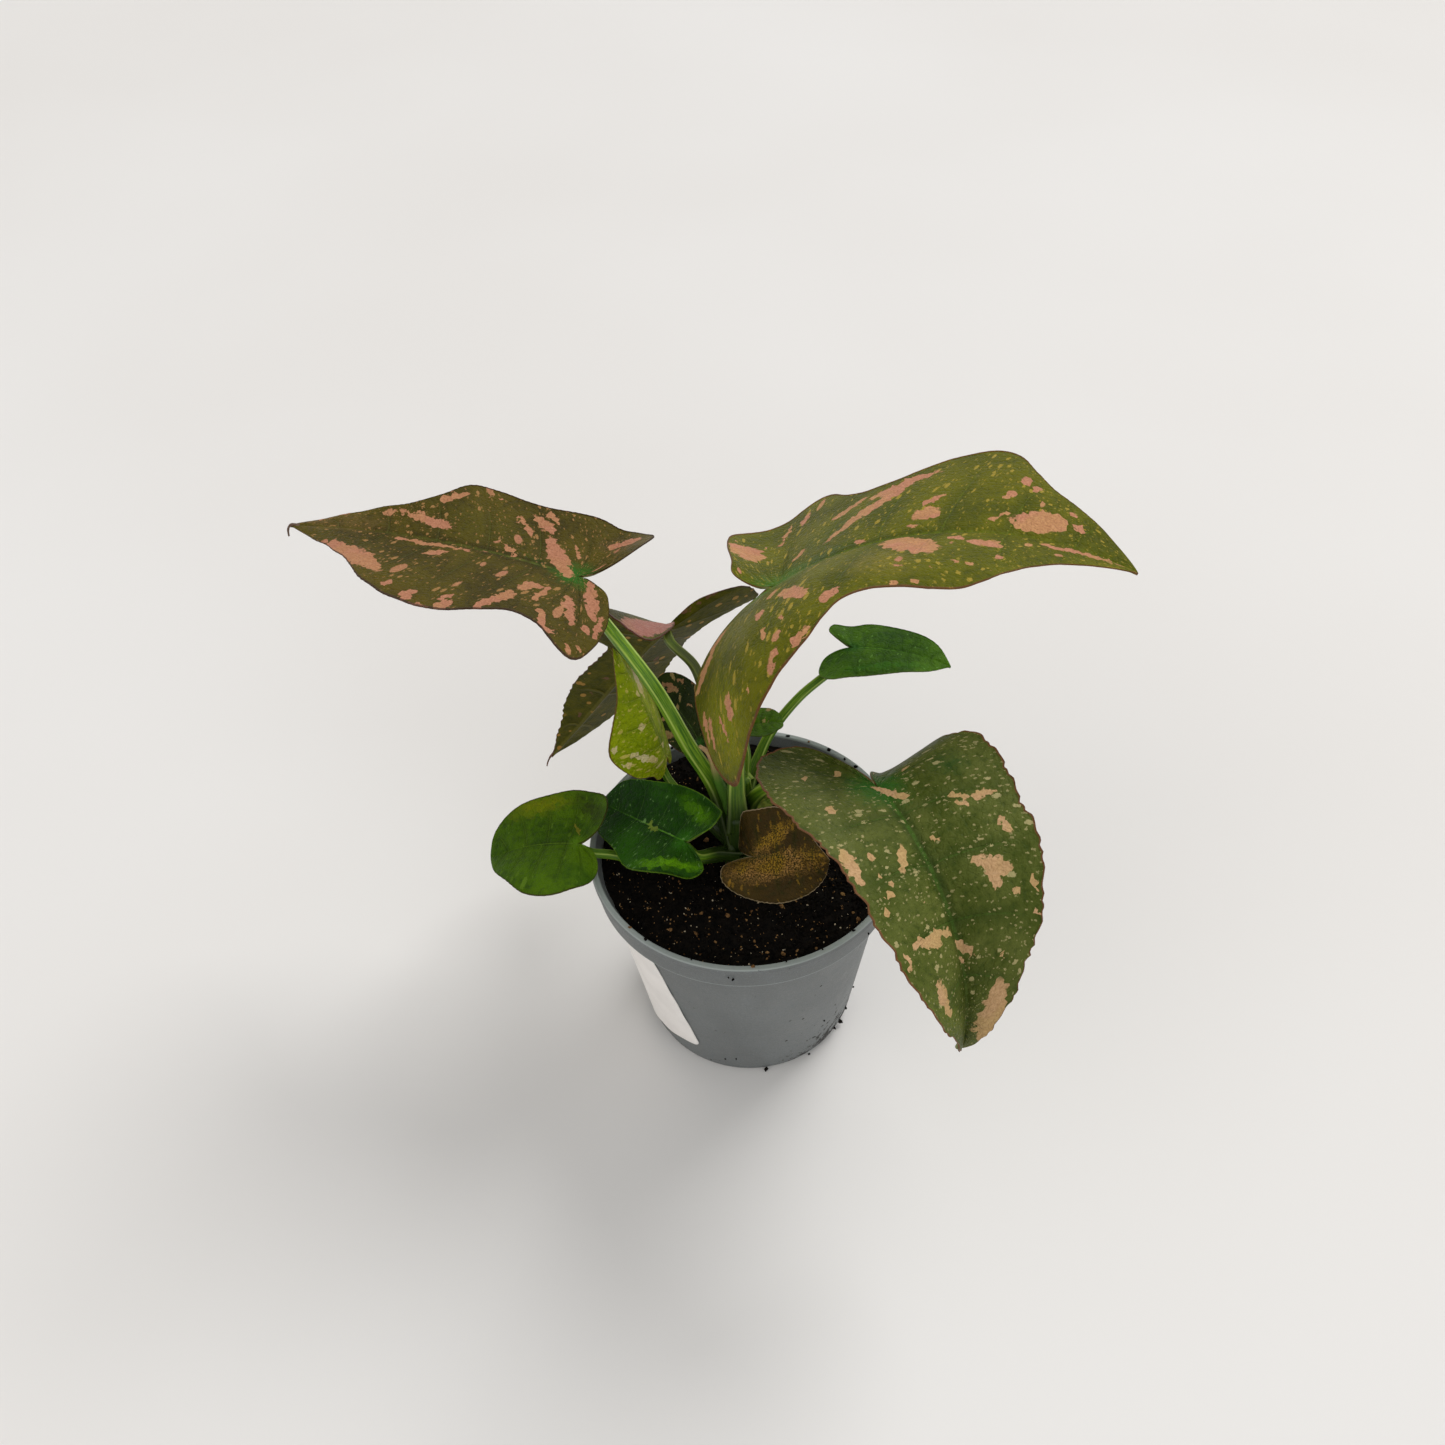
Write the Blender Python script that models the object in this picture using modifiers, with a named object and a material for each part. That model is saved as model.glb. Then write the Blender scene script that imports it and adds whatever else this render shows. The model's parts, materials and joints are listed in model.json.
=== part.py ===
"""Potted pink splash syngonium: a small aroid with splashed leaves in a 6 cm nursery pot.

Sizes are in millimetres and MM turns them into metres. The origin is the centre of the
pot's base, +Z is up, and +Y points to the back of the plant. Angles are in degrees.
"""
import math

import bmesh
import bpy
import numpy as np
from mathutils import Vector

MM = 0.001
GAP = 0.3

# Pot
POT_HEIGHT = 47.5
POT_RIM_RADIUS = 30.0
POT_BASE_RADIUS = 20.9
WALL_TOP_RADIUS = 27.2
WALL = 1.2
COLLAR_HEIGHT = 6.0
COLLAR_RADIUS = 29.2
LIP_WIDTH = 2.1
LIP_ROUND = 0.5
FLOOR_THICKNESS = 1.6
FOOT_CHAMFER = 0.8
DRAIN_COUNT = 6
DRAIN_RADIUS = 2.6
DRAIN_RING = 14.0
DRAIN_START = 34.0
TURN_STEPS = 48

# Blank label, a sticker wrapped on the left of the wall
LABEL_WIDTH = 27.0
LABEL_HEIGHT = 31.0
LABEL_TILT = 12.0
LABEL_CORNER = (-119.0, 8.0)
LABEL_THICKNESS = 0.3
LABEL_CELLS = (10, 6)

# Soil
SOIL_LEVEL = 44.6
SOIL_RELIEF = 0.45
SOIL_DIP = 1.5
SOIL_RINGS = 11
SOIL_STEPS = 48

# Shoots: foot centre, top centre, foot radius, top radius
FRONT_SHOOT = dict(foot=(-1.6, -3.6, 36.0), top=(-1.4, -1.6, 57.0), radii=(3.1, 1.9))
BACK_SHOOT = dict(foot=(0.6, 11.5, 38.0), top=(0.2, 12.3, 52.0), radii=(2.3, 1.4))
SHOOT_HOLE_DEPTH = 11.0
SHOOT_HOLE_SLACK = 0.6
PETIOLE_STEP = 4.5
KNEE = 2.4

# Dry brown sheath in front of the front shoot's left side
SHEATH_DIRECTIONS = (222.0, 256.0)
SHEATH_SPAN = (43.8, 47.6)
SHEATH_THICKNESS = 0.6
SHEATH_CELLS = (6, 4)

# Blades
BLADE_THICKNESS = 0.7
REACH_DIRECTIONS = (14, 30, 52, 80, 112, 138, 157, 167)
FORK = 0.36
BEND_STEPS = 14
LIFT_ONSET = 0.05
BASE_EVENNESS = 2.5
LOBE_START = 90
LOBE_FULL = 150


def half(reach, fold, lobe_lift, side_droop, lobe_droop):
    """One side of a blade: its outline radii, as shares of the length, and how it is set."""
    return dict(reach=reach, fold=fold, lobe_lift=lobe_lift,
                side_droop=side_droop, lobe_droop=lobe_droop)


BLADES = {
    "blade_left_large": dict(
        base=(-28.2, 24.4, 95.2), heading=157, pitch=6, roll=16, length=58.6,
        droop=14, twist=-15, sway=5, ease=1.0, wave=(0.4, 3), cells=(20, 3),
        green="dark",
        left=half((0.74, 0.63, 0.48, 0.31, 0.39, 0.24, 0.15, 0.11), 2, -7, 11, 82),
        right=half((0.63, 0.56, 0.34, 0.30, 0.28, 0.27, 0.15, 0.07), 11, 50, -9, 92)),
    "blade_right_large": dict(
        base=(7.6, 19.0, 95.4), heading=2, pitch=36, roll=-35, length=65.2,
        droop=59, twist=40, sway=5, ease=1.0, wave=(0.3, 2), cells=(24, 4),
        green="olive",
        left=half((0.80, 0.76, 0.45, 0.53, 0.39, 0.19, 0.15, 0.08), 17, 50, 40, -35),
        right=half((0.74, 0.65, 0.43, 0.50, 0.70, 0.46, 0.35, 0.14), 4, 1, 52, 93)),
    "blade_front_large": dict(
        base=(22.1, -19.4, 82.9), heading=295, pitch=8, roll=-2, length=55.5,
        droop=113, twist=-3, sway=-4, ease=1.0, wave=(0.4, 4), cells=(20, 3),
        green="dark",
        left=half((0.73, 0.56, 0.42, 0.38, 0.28, 0.31, 0.15, 0.06), 18, -18, 15, 130),
        right=half((0.78, 0.51, 0.37, 0.33, 0.36, 0.37, 0.30, 0.12), 14, 2, 13, -16)),
    "blade_back_hanging": dict(
        base=(-12.9, 31.7, 75.1), heading=142, pitch=-53, roll=45, length=52.4,
        droop=22, twist=-6, sway=15, ease=0.9, wave=(0.4, 4), cells=(20, 3),
        green="dark",
        left=half((0.58, 0.27, 0.35, 0.34, 0.35, 0.39, 0.23, 0.10), 13, -20, 28, 54),
        right=half((0.77, 0.43, 0.22, 0.18, 0.36, 0.32, 0.19, 0.09), 27, 30, 31, 30)),
    "blade_young_upright": dict(
        base=(-14.2, 9.7, 62.6), heading=152, pitch=78, roll=5, length=25.9,
        droop=17, twist=-1, sway=-2, ease=1.0, wave=(0.15, 3), cells=(14, 3),
        green="olive",
        left=half((0.72, 0.63, 0.57, 0.34, 0.19, 0.20, 0.17, 0.11), -10, -12, 34, 45),
        right=half((0.75, 0.64, 0.51, 0.37, 0.27, 0.23, 0.17, 0.10), -25, -12, 33, 44)),
    "blade_dark_back": dict(
        base=(-7.7, 21.4, 52.5), heading=146, pitch=70, roll=0, length=16.2,
        droop=45, twist=-9, sway=2, ease=1.0, wave=(0.15, 3), cells=(14, 3),
        green="dark",
        left=half((0.88, 0.72, 0.50, 0.27, 0.19, 0.19, 0.16, 0.09), 0, -6, 19, 28),
        right=half((1.01, 0.79, 0.51, 0.30, 0.21, 0.19, 0.15, 0.09), 2, -19, 10, 35)),
    "blade_small_back": dict(
        base=(2.0, 17.7, 61.4), heading=4, pitch=11, roll=-2, length=6.6,
        droop=25, twist=-7, sway=0, ease=1.0, wave=(0.15, 3), cells=(14, 3),
        green="bright",
        left=half((1.01, 0.92, 0.80, 0.62, 0.45, 0.36, 0.27, 0.13), 6, 8, 11, 23),
        right=half((0.99, 0.92, 0.80, 0.61, 0.45, 0.37, 0.29, 0.14), 6, -9, 4, 31)),
    "blade_small_right": dict(
        base=(23.5, 33.0, 66.2), heading=-15, pitch=10, roll=-4, length=19.7,
        droop=29, twist=10, sway=0, ease=1.0, wave=(0.15, 3), cells=(14, 3),
        green="bright",
        left=half((0.84, 0.60, 0.44, 0.35, 0.31, 0.34, 0.31, 0.13), 3, 35, 10, 30),
        right=half((0.79, 0.59, 0.46, 0.42, 0.46, 0.45, 0.33, 0.14), -1, -2, 19, 50)),
    "blade_front_round": dict(
        base=(1.5, -11.7, 57.0), heading=-27, pitch=28, roll=30, length=14.5,
        droop=33, twist=22, sway=1, ease=1.0, wave=(0.15, 3), cells=(14, 3),
        green="dark",
        left=half((0.85, 0.81, 0.75, 0.61, 0.59, 0.56, 0.38, 0.15), 14, 0, -10, 70),
        right=half((0.98, 0.90, 0.73, 0.58, 0.52, 0.52, 0.44, 0.18), 1, 20, 17, -21)),
    "blade_front_heart": dict(
        base=(-11.4, -7.9, 58.1), heading=136, pitch=-15, roll=-8, length=23.1,
        droop=-2, twist=-15, sway=0, ease=1.0, wave=(0.15, 3), cells=(14, 3),
        green="bright",
        left=half((0.88, 0.63, 0.52, 0.38, 0.33, 0.37, 0.35, 0.15), 3, -5, 16, 20),
        right=half((0.93, 0.68, 0.52, 0.41, 0.38, 0.43, 0.35, 0.14), 11, 44, -8, 55)),
    "blade_left_round": dict(
        base=(-31.4, -4.2, 54.5), heading=170, pitch=-3, roll=6, length=18.1,
        droop=28, twist=-26, sway=8, ease=1.0, wave=(0.15, 3), cells=(14, 3),
        green="bright",
        left=half((0.93, 0.83, 0.77, 0.66, 0.51, 0.37, 0.23, 0.12), 3, -12, 12, 60),
        right=half((0.98, 0.88, 0.74, 0.67, 0.60, 0.47, 0.29, 0.13), 6, 30, 1, -20)),
    "blade_bud": dict(
        base=(2.7, 6.7, 50.5), heading=20, pitch=20, roll=0, length=5.5,
        droop=20, twist=0, sway=0, ease=1.0, wave=(0.0, 1), cells=(8, 2), green="bright",
        left=half((0.85, 0.70, 0.55, 0.42, 0.36, 0.34, 0.26, 0.12), 15, 0, 10, 20),
        right=half((0.85, 0.70, 0.55, 0.42, 0.36, 0.34, 0.26, 0.12), 15, 0, 10, 20)),
}

# Petioles: the route's own points up to the knee under the blade, the foot and tip radii,
# and how far the end lies along the blade, from 0 for square to it to 1 for in line
PETIOLES = {
    "front": {
        "blade_left_large": dict(
            via=((-1.8, -2.5, 49.0), (-5.2, 4.0, 59.0), (-9.6, 5.8, 68.6), (-15.4, 7.6, 83.2)),
            radii=(1.7, 1.1), lie=0.5),
        "blade_right_large": dict(
            via=((-1.2, -1.8, 54.0), (-1.2, 0.6, 64.0), (0.5, 7.0, 79.0)), radii=(1.7, 1.1), lie=0.3),
        "blade_front_large": dict(
            via=((-0.8, -1.6, 52.0), (1.4, 0.6, 58.0), (5.0, -2.5, 66.0), (11.0, -9.0, 74.0)),
            radii=(1.4, 0.9), lie=0.5),
        "blade_young_upright": dict(
            via=((-2.2, -1.8, 48.5), (-8.4, 4.0, 51.6), (-14.0, 9.6, 55.4)), radii=(1.0, 0.7), lie=1.0),
        "blade_front_round": dict(
            via=((-1.2, -3.8, 46.8), (0.2, -6.4, 48.8), (1.0, -8.6, 50.6)), radii=(1.2, 0.8), lie=0.3),
        "blade_front_heart": dict(
            via=((-2.0, -4.0, 48.4), (-5.8, -6.6, 52.5)), radii=(1.1, 0.8), lie=0.5),
        "blade_left_round": dict(
            via=((-2.4, -2.6, 47.4), (-9.0, -4.8, 48.9), (-18.0, -5.6, 49.8), (-25.5, -4.4, 50.9)),
            radii=(1.1, 0.8), lie=0.8),
        "young_roll": dict(
            via=((-2.0, -0.5, 54.0), (-4.4, 3.6, 61.0), (-6.0, 5.6, 66.5), (-7.6, 5.4, 69.0)),
            radii=(1.3, 0.3)),
    },
    "back": {
        "blade_small_right": dict(
            via=((0.8, 13.0, 46.5), (3.0, 18.0, 49.5), (6.0, 23.0, 52.8), (12.0, 27.5, 58.0),
                 (16.6, 29.6, 61.0)), radii=(1.1, 0.8), lie=0.5),
        "blade_small_back": dict(via=((0.4, 13.2, 48.5), (1.2, 15.5, 55.0)), radii=(0.9, 0.7), lie=0.5),
        "blade_dark_back": dict(via=((0.0, 12.5, 46.8), (-4.0, 17.0, 48.0)), radii=(0.9, 0.7), lie=0.8),
        "blade_back_hanging": dict(
            via=((0.0, 12.8, 50.0), (-3.5, 17.5, 56.5), (-6.0, 23.5, 63.0), (-8.2, 27.5, 68.5)),
            radii=(1.3, 0.9), lie=0.3),
        "blade_bud": dict(via=((0.4, 10.8, 46.8), (1.6, 8.2, 48.4)), radii=(0.8, 0.6), lie=0.5),
    },
}


def clear_scene():
    """Remove what the file starts with."""
    for obj in list(bpy.data.objects):
        bpy.data.objects.remove(obj, do_unlink=True)


def new_collection(name):
    """Make a collection in the scene."""
    collection = bpy.data.collections.new(name)
    bpy.context.scene.collection.children.link(collection)
    return collection


def principled(name, colour, roughness, metallic=0.0):
    """A plain Principled material."""
    material = bpy.data.materials.new(name)
    material.use_nodes = True
    shader = material.node_tree.nodes["Principled BSDF"]
    shader.inputs["Base Color"].default_value = (*colour, 1.0)
    shader.inputs["Roughness"].default_value = roughness
    shader.inputs["Metallic"].default_value = metallic
    return material


def mesh_of(name, points, faces):
    """A mesh from points in millimetres."""
    mesh = bpy.data.meshes.new(name)
    mesh.from_pydata([Vector(point) * MM for point in points], [], faces)
    mesh.update()
    return mesh


def add_object(name, mesh, collection, material=None):
    """Link a mesh as an object, shaded smooth with sharp corners."""
    obj = bpy.data.objects.new(name, mesh)
    collection.objects.link(obj)
    if material is not None:
        mesh.materials.append(material)
    mesh.shade_smooth()
    mesh.set_sharp_from_angle(angle=math.radians(40))
    return obj


def hide_cutter(obj):
    """A cutter shows as wire and isn't rendered."""
    obj.hide_render = True
    obj.display_type = "WIRE"


def add_cylinder_cutter(name, centre, radius, depth, collection):
    """An upright cylinder to cut with, centred in all three directions."""
    bpy.ops.mesh.primitive_cylinder_add(
        vertices=20, radius=radius * MM, depth=depth * MM, location=Vector(centre) * MM)
    cutter = bpy.context.object
    cutter.name = name
    for owner in list(cutter.users_collection):
        owner.objects.unlink(cutter)
    collection.objects.link(cutter)
    hide_cutter(cutter)
    return cutter


def cut(obj, cutter):
    """Take a cutter out of an object."""
    boolean = obj.modifiers.new(cutter.name, "BOOLEAN")
    boolean.operation = "DIFFERENCE"
    boolean.object = cutter


def wall_radius(height):
    """Outer radius of the pot's wall below the collar."""
    share = height / (POT_HEIGHT - COLLAR_HEIGHT)
    return POT_BASE_RADIUS + (WALL_TOP_RADIUS - POT_BASE_RADIUS) * share


def pot_bore(height):
    """Inner radius of the pot."""
    collar_foot = POT_HEIGHT - COLLAR_HEIGHT
    if height <= collar_foot:
        return wall_radius(height) - WALL
    share = (height - collar_foot) / COLLAR_HEIGHT
    top = POT_RIM_RADIUS - LIP_WIDTH
    return (WALL_TOP_RADIUS - WALL) * (1 - share) + top * share


def make_pot(collection, cutters, material):
    """The pot is one turned shell with holes in its floor, clear of the base's centre."""
    collar_foot = POT_HEIGHT - COLLAR_HEIGHT
    rim = POT_RIM_RADIUS
    profile = [
        (0.0, FLOOR_THICKNESS),
        (pot_bore(FLOOR_THICKNESS), FLOOR_THICKNESS),
        (pot_bore(collar_foot), collar_foot),
        (pot_bore(POT_HEIGHT) - LIP_ROUND / 2, POT_HEIGHT - LIP_ROUND),
        (pot_bore(POT_HEIGHT) + LIP_ROUND / 2, POT_HEIGHT),
        (rim - LIP_ROUND, POT_HEIGHT),
        (rim, POT_HEIGHT - LIP_ROUND),
        (COLLAR_RADIUS, collar_foot + LIP_ROUND),
        (COLLAR_RADIUS - LIP_ROUND, collar_foot),
        (WALL_TOP_RADIUS, collar_foot),
        (wall_radius(FOOT_CHAMFER), FOOT_CHAMFER),
        (POT_BASE_RADIUS - FOOT_CHAMFER, 0.0),
        (0.0, 0.0),
    ]
    edges = [(index, index + 1) for index in range(len(profile) - 1)]
    mesh = bpy.data.meshes.new("pot")
    mesh.from_pydata([(radius * MM, 0.0, height * MM) for radius, height in profile], edges, [])
    pot = bpy.data.objects.new("pot", mesh)
    collection.objects.link(pot)
    mesh.materials.append(material)
    screw = pot.modifiers.new("turn", "SCREW")
    screw.steps = TURN_STEPS
    screw.render_steps = TURN_STEPS
    screw.use_merge_vertices = True
    screw.merge_threshold = 0.0001
    screw.use_smooth_shade = True
    for index in range(DRAIN_COUNT):
        angle = math.radians(DRAIN_START) + math.tau * index / DRAIN_COUNT
        centre = (DRAIN_RING * math.cos(angle), DRAIN_RING * math.sin(angle), 0.0)
        cutter = add_cylinder_cutter(f"drain_{index}", centre, DRAIN_RADIUS, 4 * FLOOR_THICKNESS, cutters)
        cut(pot, cutter)
    return pot


def sheet_faces(across, along):
    """Faces of a closed sheet whose points are the outer grid and then the inner grid."""
    row = along + 1
    count = (across + 1) * row
    faces = []
    for i in range(across):
        for j in range(along):
            a, b, c, d = i * row + j, (i + 1) * row + j, (i + 1) * row + j + 1, i * row + j + 1
            faces += [(a, b, c), (a, c, d)]
            faces += [(a + count, c + count, b + count), (a + count, d + count, c + count)]
    border = [i * row for i in range(across + 1)]
    border += [across * row + j for j in range(1, row)]
    border += [i * row + along for i in range(across - 1, -1, -1)]
    border += list(range(along - 1, 0, -1))
    for index, first in enumerate(border):
        second = border[(index + 1) % len(border)]
        faces += [(second, first, first + count), (second, first + count, second + count)]
    return faces


def wrapped_sheet(name, place, thickness, cells):
    """A thin closed sheet round an upright cone; place gives a point at u, v and a depth."""
    across, along = cells
    points = []
    for depth in (thickness, 0.0):
        for i in range(across + 1):
            for j in range(along + 1):
                points.append(place(i / across, j / along, depth))
    mesh = mesh_of(name, points, sheet_faces(across, along))
    outward(mesh)
    return mesh


def label_point(u, v, depth):
    """A point of the label: u runs clockwise round the wall, v up it, both tilted."""
    tilt = math.radians(LABEL_TILT)
    side = u * LABEL_WIDTH
    up = v * LABEL_HEIGHT
    height = LABEL_CORNER[1] + up * math.cos(tilt) - side * math.sin(tilt)
    arc = side * math.cos(tilt) + up * math.sin(tilt)
    middle = wall_radius(LABEL_CORNER[1] + LABEL_HEIGHT / 2)
    angle = math.radians(LABEL_CORNER[0]) - arc / middle
    radius = wall_radius(height) + GAP + depth
    return (radius * math.cos(angle), radius * math.sin(angle), height)


def make_label(collection, material):
    """The label is a blank sheet on the wall."""
    mesh = wrapped_sheet("pot_label", label_point, LABEL_THICKNESS, LABEL_CELLS)
    return add_object("pot_label", mesh, collection, material)


def soil_height(x, y):
    """Crumbly relief of the soil, a little higher towards the back right."""
    swell = 0.6 * math.sin(0.23 * x + 1.1) * math.cos(0.19 * y - 0.4)
    crumb = math.sin(1.9 * x + 0.7 * y) + math.sin(2.3 * y - 1.1 * x + 2.0) + math.sin(3.1 * x + 2.7 * y)
    return SOIL_LEVEL + 0.02 * (x + y) + SOIL_RELIEF * (swell + 0.5 * crumb)


def make_soil(collection, cutters, material):
    """The soil fills the pot: a relief on top, the bore's taper below, and plain holes."""
    floor = FLOOR_THICKNESS + GAP
    collar_foot = POT_HEIGHT - COLLAR_HEIGHT
    points = [(0.0, 0.0, soil_height(0.0, 0.0))]
    for ring in range(1, SOIL_RINGS + 1):
        for step in range(SOIL_STEPS):
            angle = math.tau * (step + 0.5 * (ring % 2)) / SOIL_STEPS
            radius = (pot_bore(SOIL_LEVEL - SOIL_DIP) - 2 * GAP) * ring / SOIL_RINGS
            x, y = radius * math.cos(angle), radius * math.sin(angle)
            points.append((x, y, soil_height(x, y)))
    shift = 0.5 * (SOIL_RINGS % 2)
    for height in (collar_foot, floor):
        for step in range(SOIL_STEPS):
            angle = math.tau * (step + shift) / SOIL_STEPS
            radius = pot_bore(height) - 2 * GAP
            points.append((radius * math.cos(angle), radius * math.sin(angle), height))
    points.append((0.0, 0.0, floor))
    faces = []
    for step in range(SOIL_STEPS):
        after = (step + 1) % SOIL_STEPS
        faces.append((0, 1 + step, 1 + after))
        for ring in range(1, SOIL_RINGS + 2):
            a, b = 1 + (ring - 1) * SOIL_STEPS + step, 1 + (ring - 1) * SOIL_STEPS + after
            c, d = a + SOIL_STEPS, b + SOIL_STEPS
            if ring < SOIL_RINGS and ring % 2:
                faces += [(a, d, b), (a, c, d)]
            else:
                faces += [(a, c, b), (b, c, d)]
        last = 1 + (SOIL_RINGS + 1) * SOIL_STEPS
        faces.append((last + after, last + step, len(points) - 1))
    soil = add_object("soil", mesh_of("soil", points, faces), collection, material)
    for name, shoot in (("front_hole", FRONT_SHOOT), ("back_hole", BACK_SHOOT)):
        x, y, _ = shoot["foot"]
        radius = shoot["radii"][0] + GAP + SHOOT_HOLE_SLACK
        middle = (x, y, SOIL_LEVEL)
        cutter = add_cylinder_cutter(name, middle, radius, 2 * SHOOT_HOLE_DEPTH, cutters)
        cut(soil, cutter)
    return soil


def smooth_route(points, step):
    """Points every step or so along a smooth curve through the route's own points."""
    nodes = np.array(points, float)
    spans = np.linalg.norm(np.diff(nodes, axis=0), axis=1)
    times = np.concatenate([[0.0], np.cumsum(np.sqrt(spans))])
    slopes = np.gradient(nodes, times, axis=0)
    counts = np.maximum(1, np.rint(spans / step)).astype(int)
    route = []
    for index, count in enumerate(counts):
        length = times[index + 1] - times[index]
        for k in range(count):
            route.append(hermite(nodes[index], nodes[index + 1],
                                 slopes[index] * length, slopes[index + 1] * length, k / count))
    route.append(nodes[-1])
    return np.array(route)


def hermite(start, end, start_slope, end_slope, share):
    """Cubic between two points with given end slopes."""
    s2, s3 = share ** 2, share ** 3
    return ((2 * s3 - 3 * s2 + 1) * start + (s3 - 2 * s2 + share) * start_slope
            + (3 * s2 - 2 * s3) * end + (s3 - s2) * end_slope)


def tube_mesh(name, route, radii):
    """A closed tube along a route, tapering from the first radius to the last."""
    curve = bpy.data.curves.new(name, "CURVE")
    curve.dimensions = "3D"
    curve.bevel_depth = MM
    curve.bevel_resolution = 2
    curve.use_fill_caps = True
    spline = curve.splines.new("POLY")
    spline.points.add(len(route) - 1)
    for index, (point, place) in enumerate(zip(spline.points, route)):
        share = index / (len(route) - 1)
        point.co = (*(Vector(place) * MM), 1.0)
        point.radius = radii[0] * (1 - share) + radii[1] * share
    obj = bpy.data.objects.new(name, curve)
    bpy.context.scene.collection.objects.link(obj)
    evaluated = obj.evaluated_get(bpy.context.evaluated_depsgraph_get())
    mesh = bpy.data.meshes.new_from_object(evaluated)
    weld(mesh)
    bpy.data.objects.remove(obj, do_unlink=True)
    return mesh


def weld(mesh):
    """Close a tube's caps."""
    work = bmesh.new()
    work.from_mesh(mesh)
    bmesh.ops.remove_doubles(work, verts=work.verts, dist=0.00001)
    bmesh.ops.recalc_face_normals(work, faces=work.faces)
    work.to_mesh(mesh)
    work.free()


def blade_axes(blade):
    """Directions of a blade's tip, left side and upper face at its base."""
    heading, pitch, roll = (math.radians(blade[key]) for key in ("heading", "pitch", "roll"))
    ahead = np.array([math.cos(heading), math.sin(heading), 0.0])
    left = np.array([-math.sin(heading), math.cos(heading), 0.0])
    up = np.array([0.0, 0.0, 1.0])
    tip = math.cos(pitch) * ahead + math.sin(pitch) * up
    face = math.cos(pitch) * up - math.sin(pitch) * ahead
    side = math.cos(roll) * left + math.sin(roll) * face
    return tip, side, math.cos(roll) * face - math.sin(roll) * left


def outline(blade, sign, count):
    """Flat points of one side's edge, from the notch at the base round the lobe to the tip."""
    reach = (1.0,) + blade["left" if sign > 0 else "right"]["reach"]
    corners = [(blade["length"] * share * math.cos(math.radians(angle)),
                sign * blade["length"] * share * math.sin(math.radians(angle)))
               for share, angle in zip(reach, (0,) + REACH_DIRECTIONS)]
    corners = np.array([(0.0, 0.0)] + corners[::-1])
    spans = np.linalg.norm(np.diff(corners, axis=0), axis=1)
    lengths = np.concatenate([[0.0], np.cumsum(spans)])
    times = np.concatenate([[0.0], np.cumsum(np.sqrt(spans))])
    slopes = np.gradient(corners, times, axis=0)
    points = []
    for place in np.linspace(0.0, lengths[-1], count + 1):
        time = np.interp(place, lengths, times)
        index = min(np.searchsorted(times, time, side="right") - 1, len(spans) - 1)
        span = times[index + 1] - times[index]
        points.append(hermite(corners[index], corners[index + 1], slopes[index] * span,
                              slopes[index + 1] * span, (time - times[index]) / span))
    return np.array(points)


def blend_directions(angle, tip, side, lobe):
    """A value that goes from the tip's to the side's to the lobe's as the direction turns."""
    to_side = np.sin(np.minimum(angle, math.pi / 2))
    start, full = math.radians(LOBE_START), math.radians(LOBE_FULL)
    share = np.clip((angle - start) / (full - start), 0.0, 1.0)
    to_lobe = share ** 2 * (3 - 2 * share)
    return tip + (side - tip) * to_side + (lobe - side) * to_lobe


def blade_surface(blade, flat, sign):
    """Bend flat points of one side into the blade's upper face, outwards from its base."""
    half_blade = blade["left" if sign > 0 else "right"]
    length = blade["length"]
    distance = np.hypot(flat[..., 0], flat[..., 1])
    angle = np.abs(np.arctan2(flat[..., 1], flat[..., 0]))
    lift = blend_directions(angle, 0.0, half_blade["fold"], half_blade["lobe_lift"])
    droop = blend_directions(angle, blade["droop"], half_blade["side_droop"], half_blade["lobe_droop"])
    tip, side, face = blade_axes(blade)
    along = (np.arange(BEND_STEPS) + 0.5) / BEND_STEPS * distance[..., None] / length
    onset = 1 - np.exp(-along / LIFT_ONSET)
    climb = lift[..., None] * onset - droop[..., None] * along ** blade["ease"]
    climb = np.radians(climb + sign * blade["twist"] * along * np.sin(angle)[..., None])
    turn = sign * angle[..., None] + np.radians(blade["sway"]) * along ** 2
    step = (distance / BEND_STEPS)[..., None]
    ahead = (np.cos(climb) * np.cos(turn) * step).sum(-1)[..., None]
    aside = (np.cos(climb) * np.sin(turn) * step).sum(-1)[..., None]
    above = (np.sin(climb) * step).sum(-1)[..., None]
    return np.array(blade["base"]) + ahead * tip + aside * side + above * face


def half_grid(blade, sign):
    """Points of one side: from the midrib to the edge, for each place along the edge."""
    along, across = blade["cells"]
    edge = outline(blade, sign, along)
    share = np.linspace(0.0, 1.0, along + 1)
    rib = blade["length"] * np.clip((share - FORK) / (1 - FORK), 0.0, 1.0)
    rib = np.stack([rib, np.zeros_like(rib)], -1)
    depth = np.linspace(0.0, 1.0, across + 1)[:, None]
    flat = rib[:, None] * (1 - depth) + edge[:, None] * depth
    grid = blade_surface(blade, flat, sign)
    height, count = blade["wave"]
    ripple = height * np.sin(math.tau * count * share)[:, None] * (depth[:, 0] ** 2)[None]
    grid = grid + ripple[..., None] * blade_axes(blade)[2]
    return grid, rib[:, 0]


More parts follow.
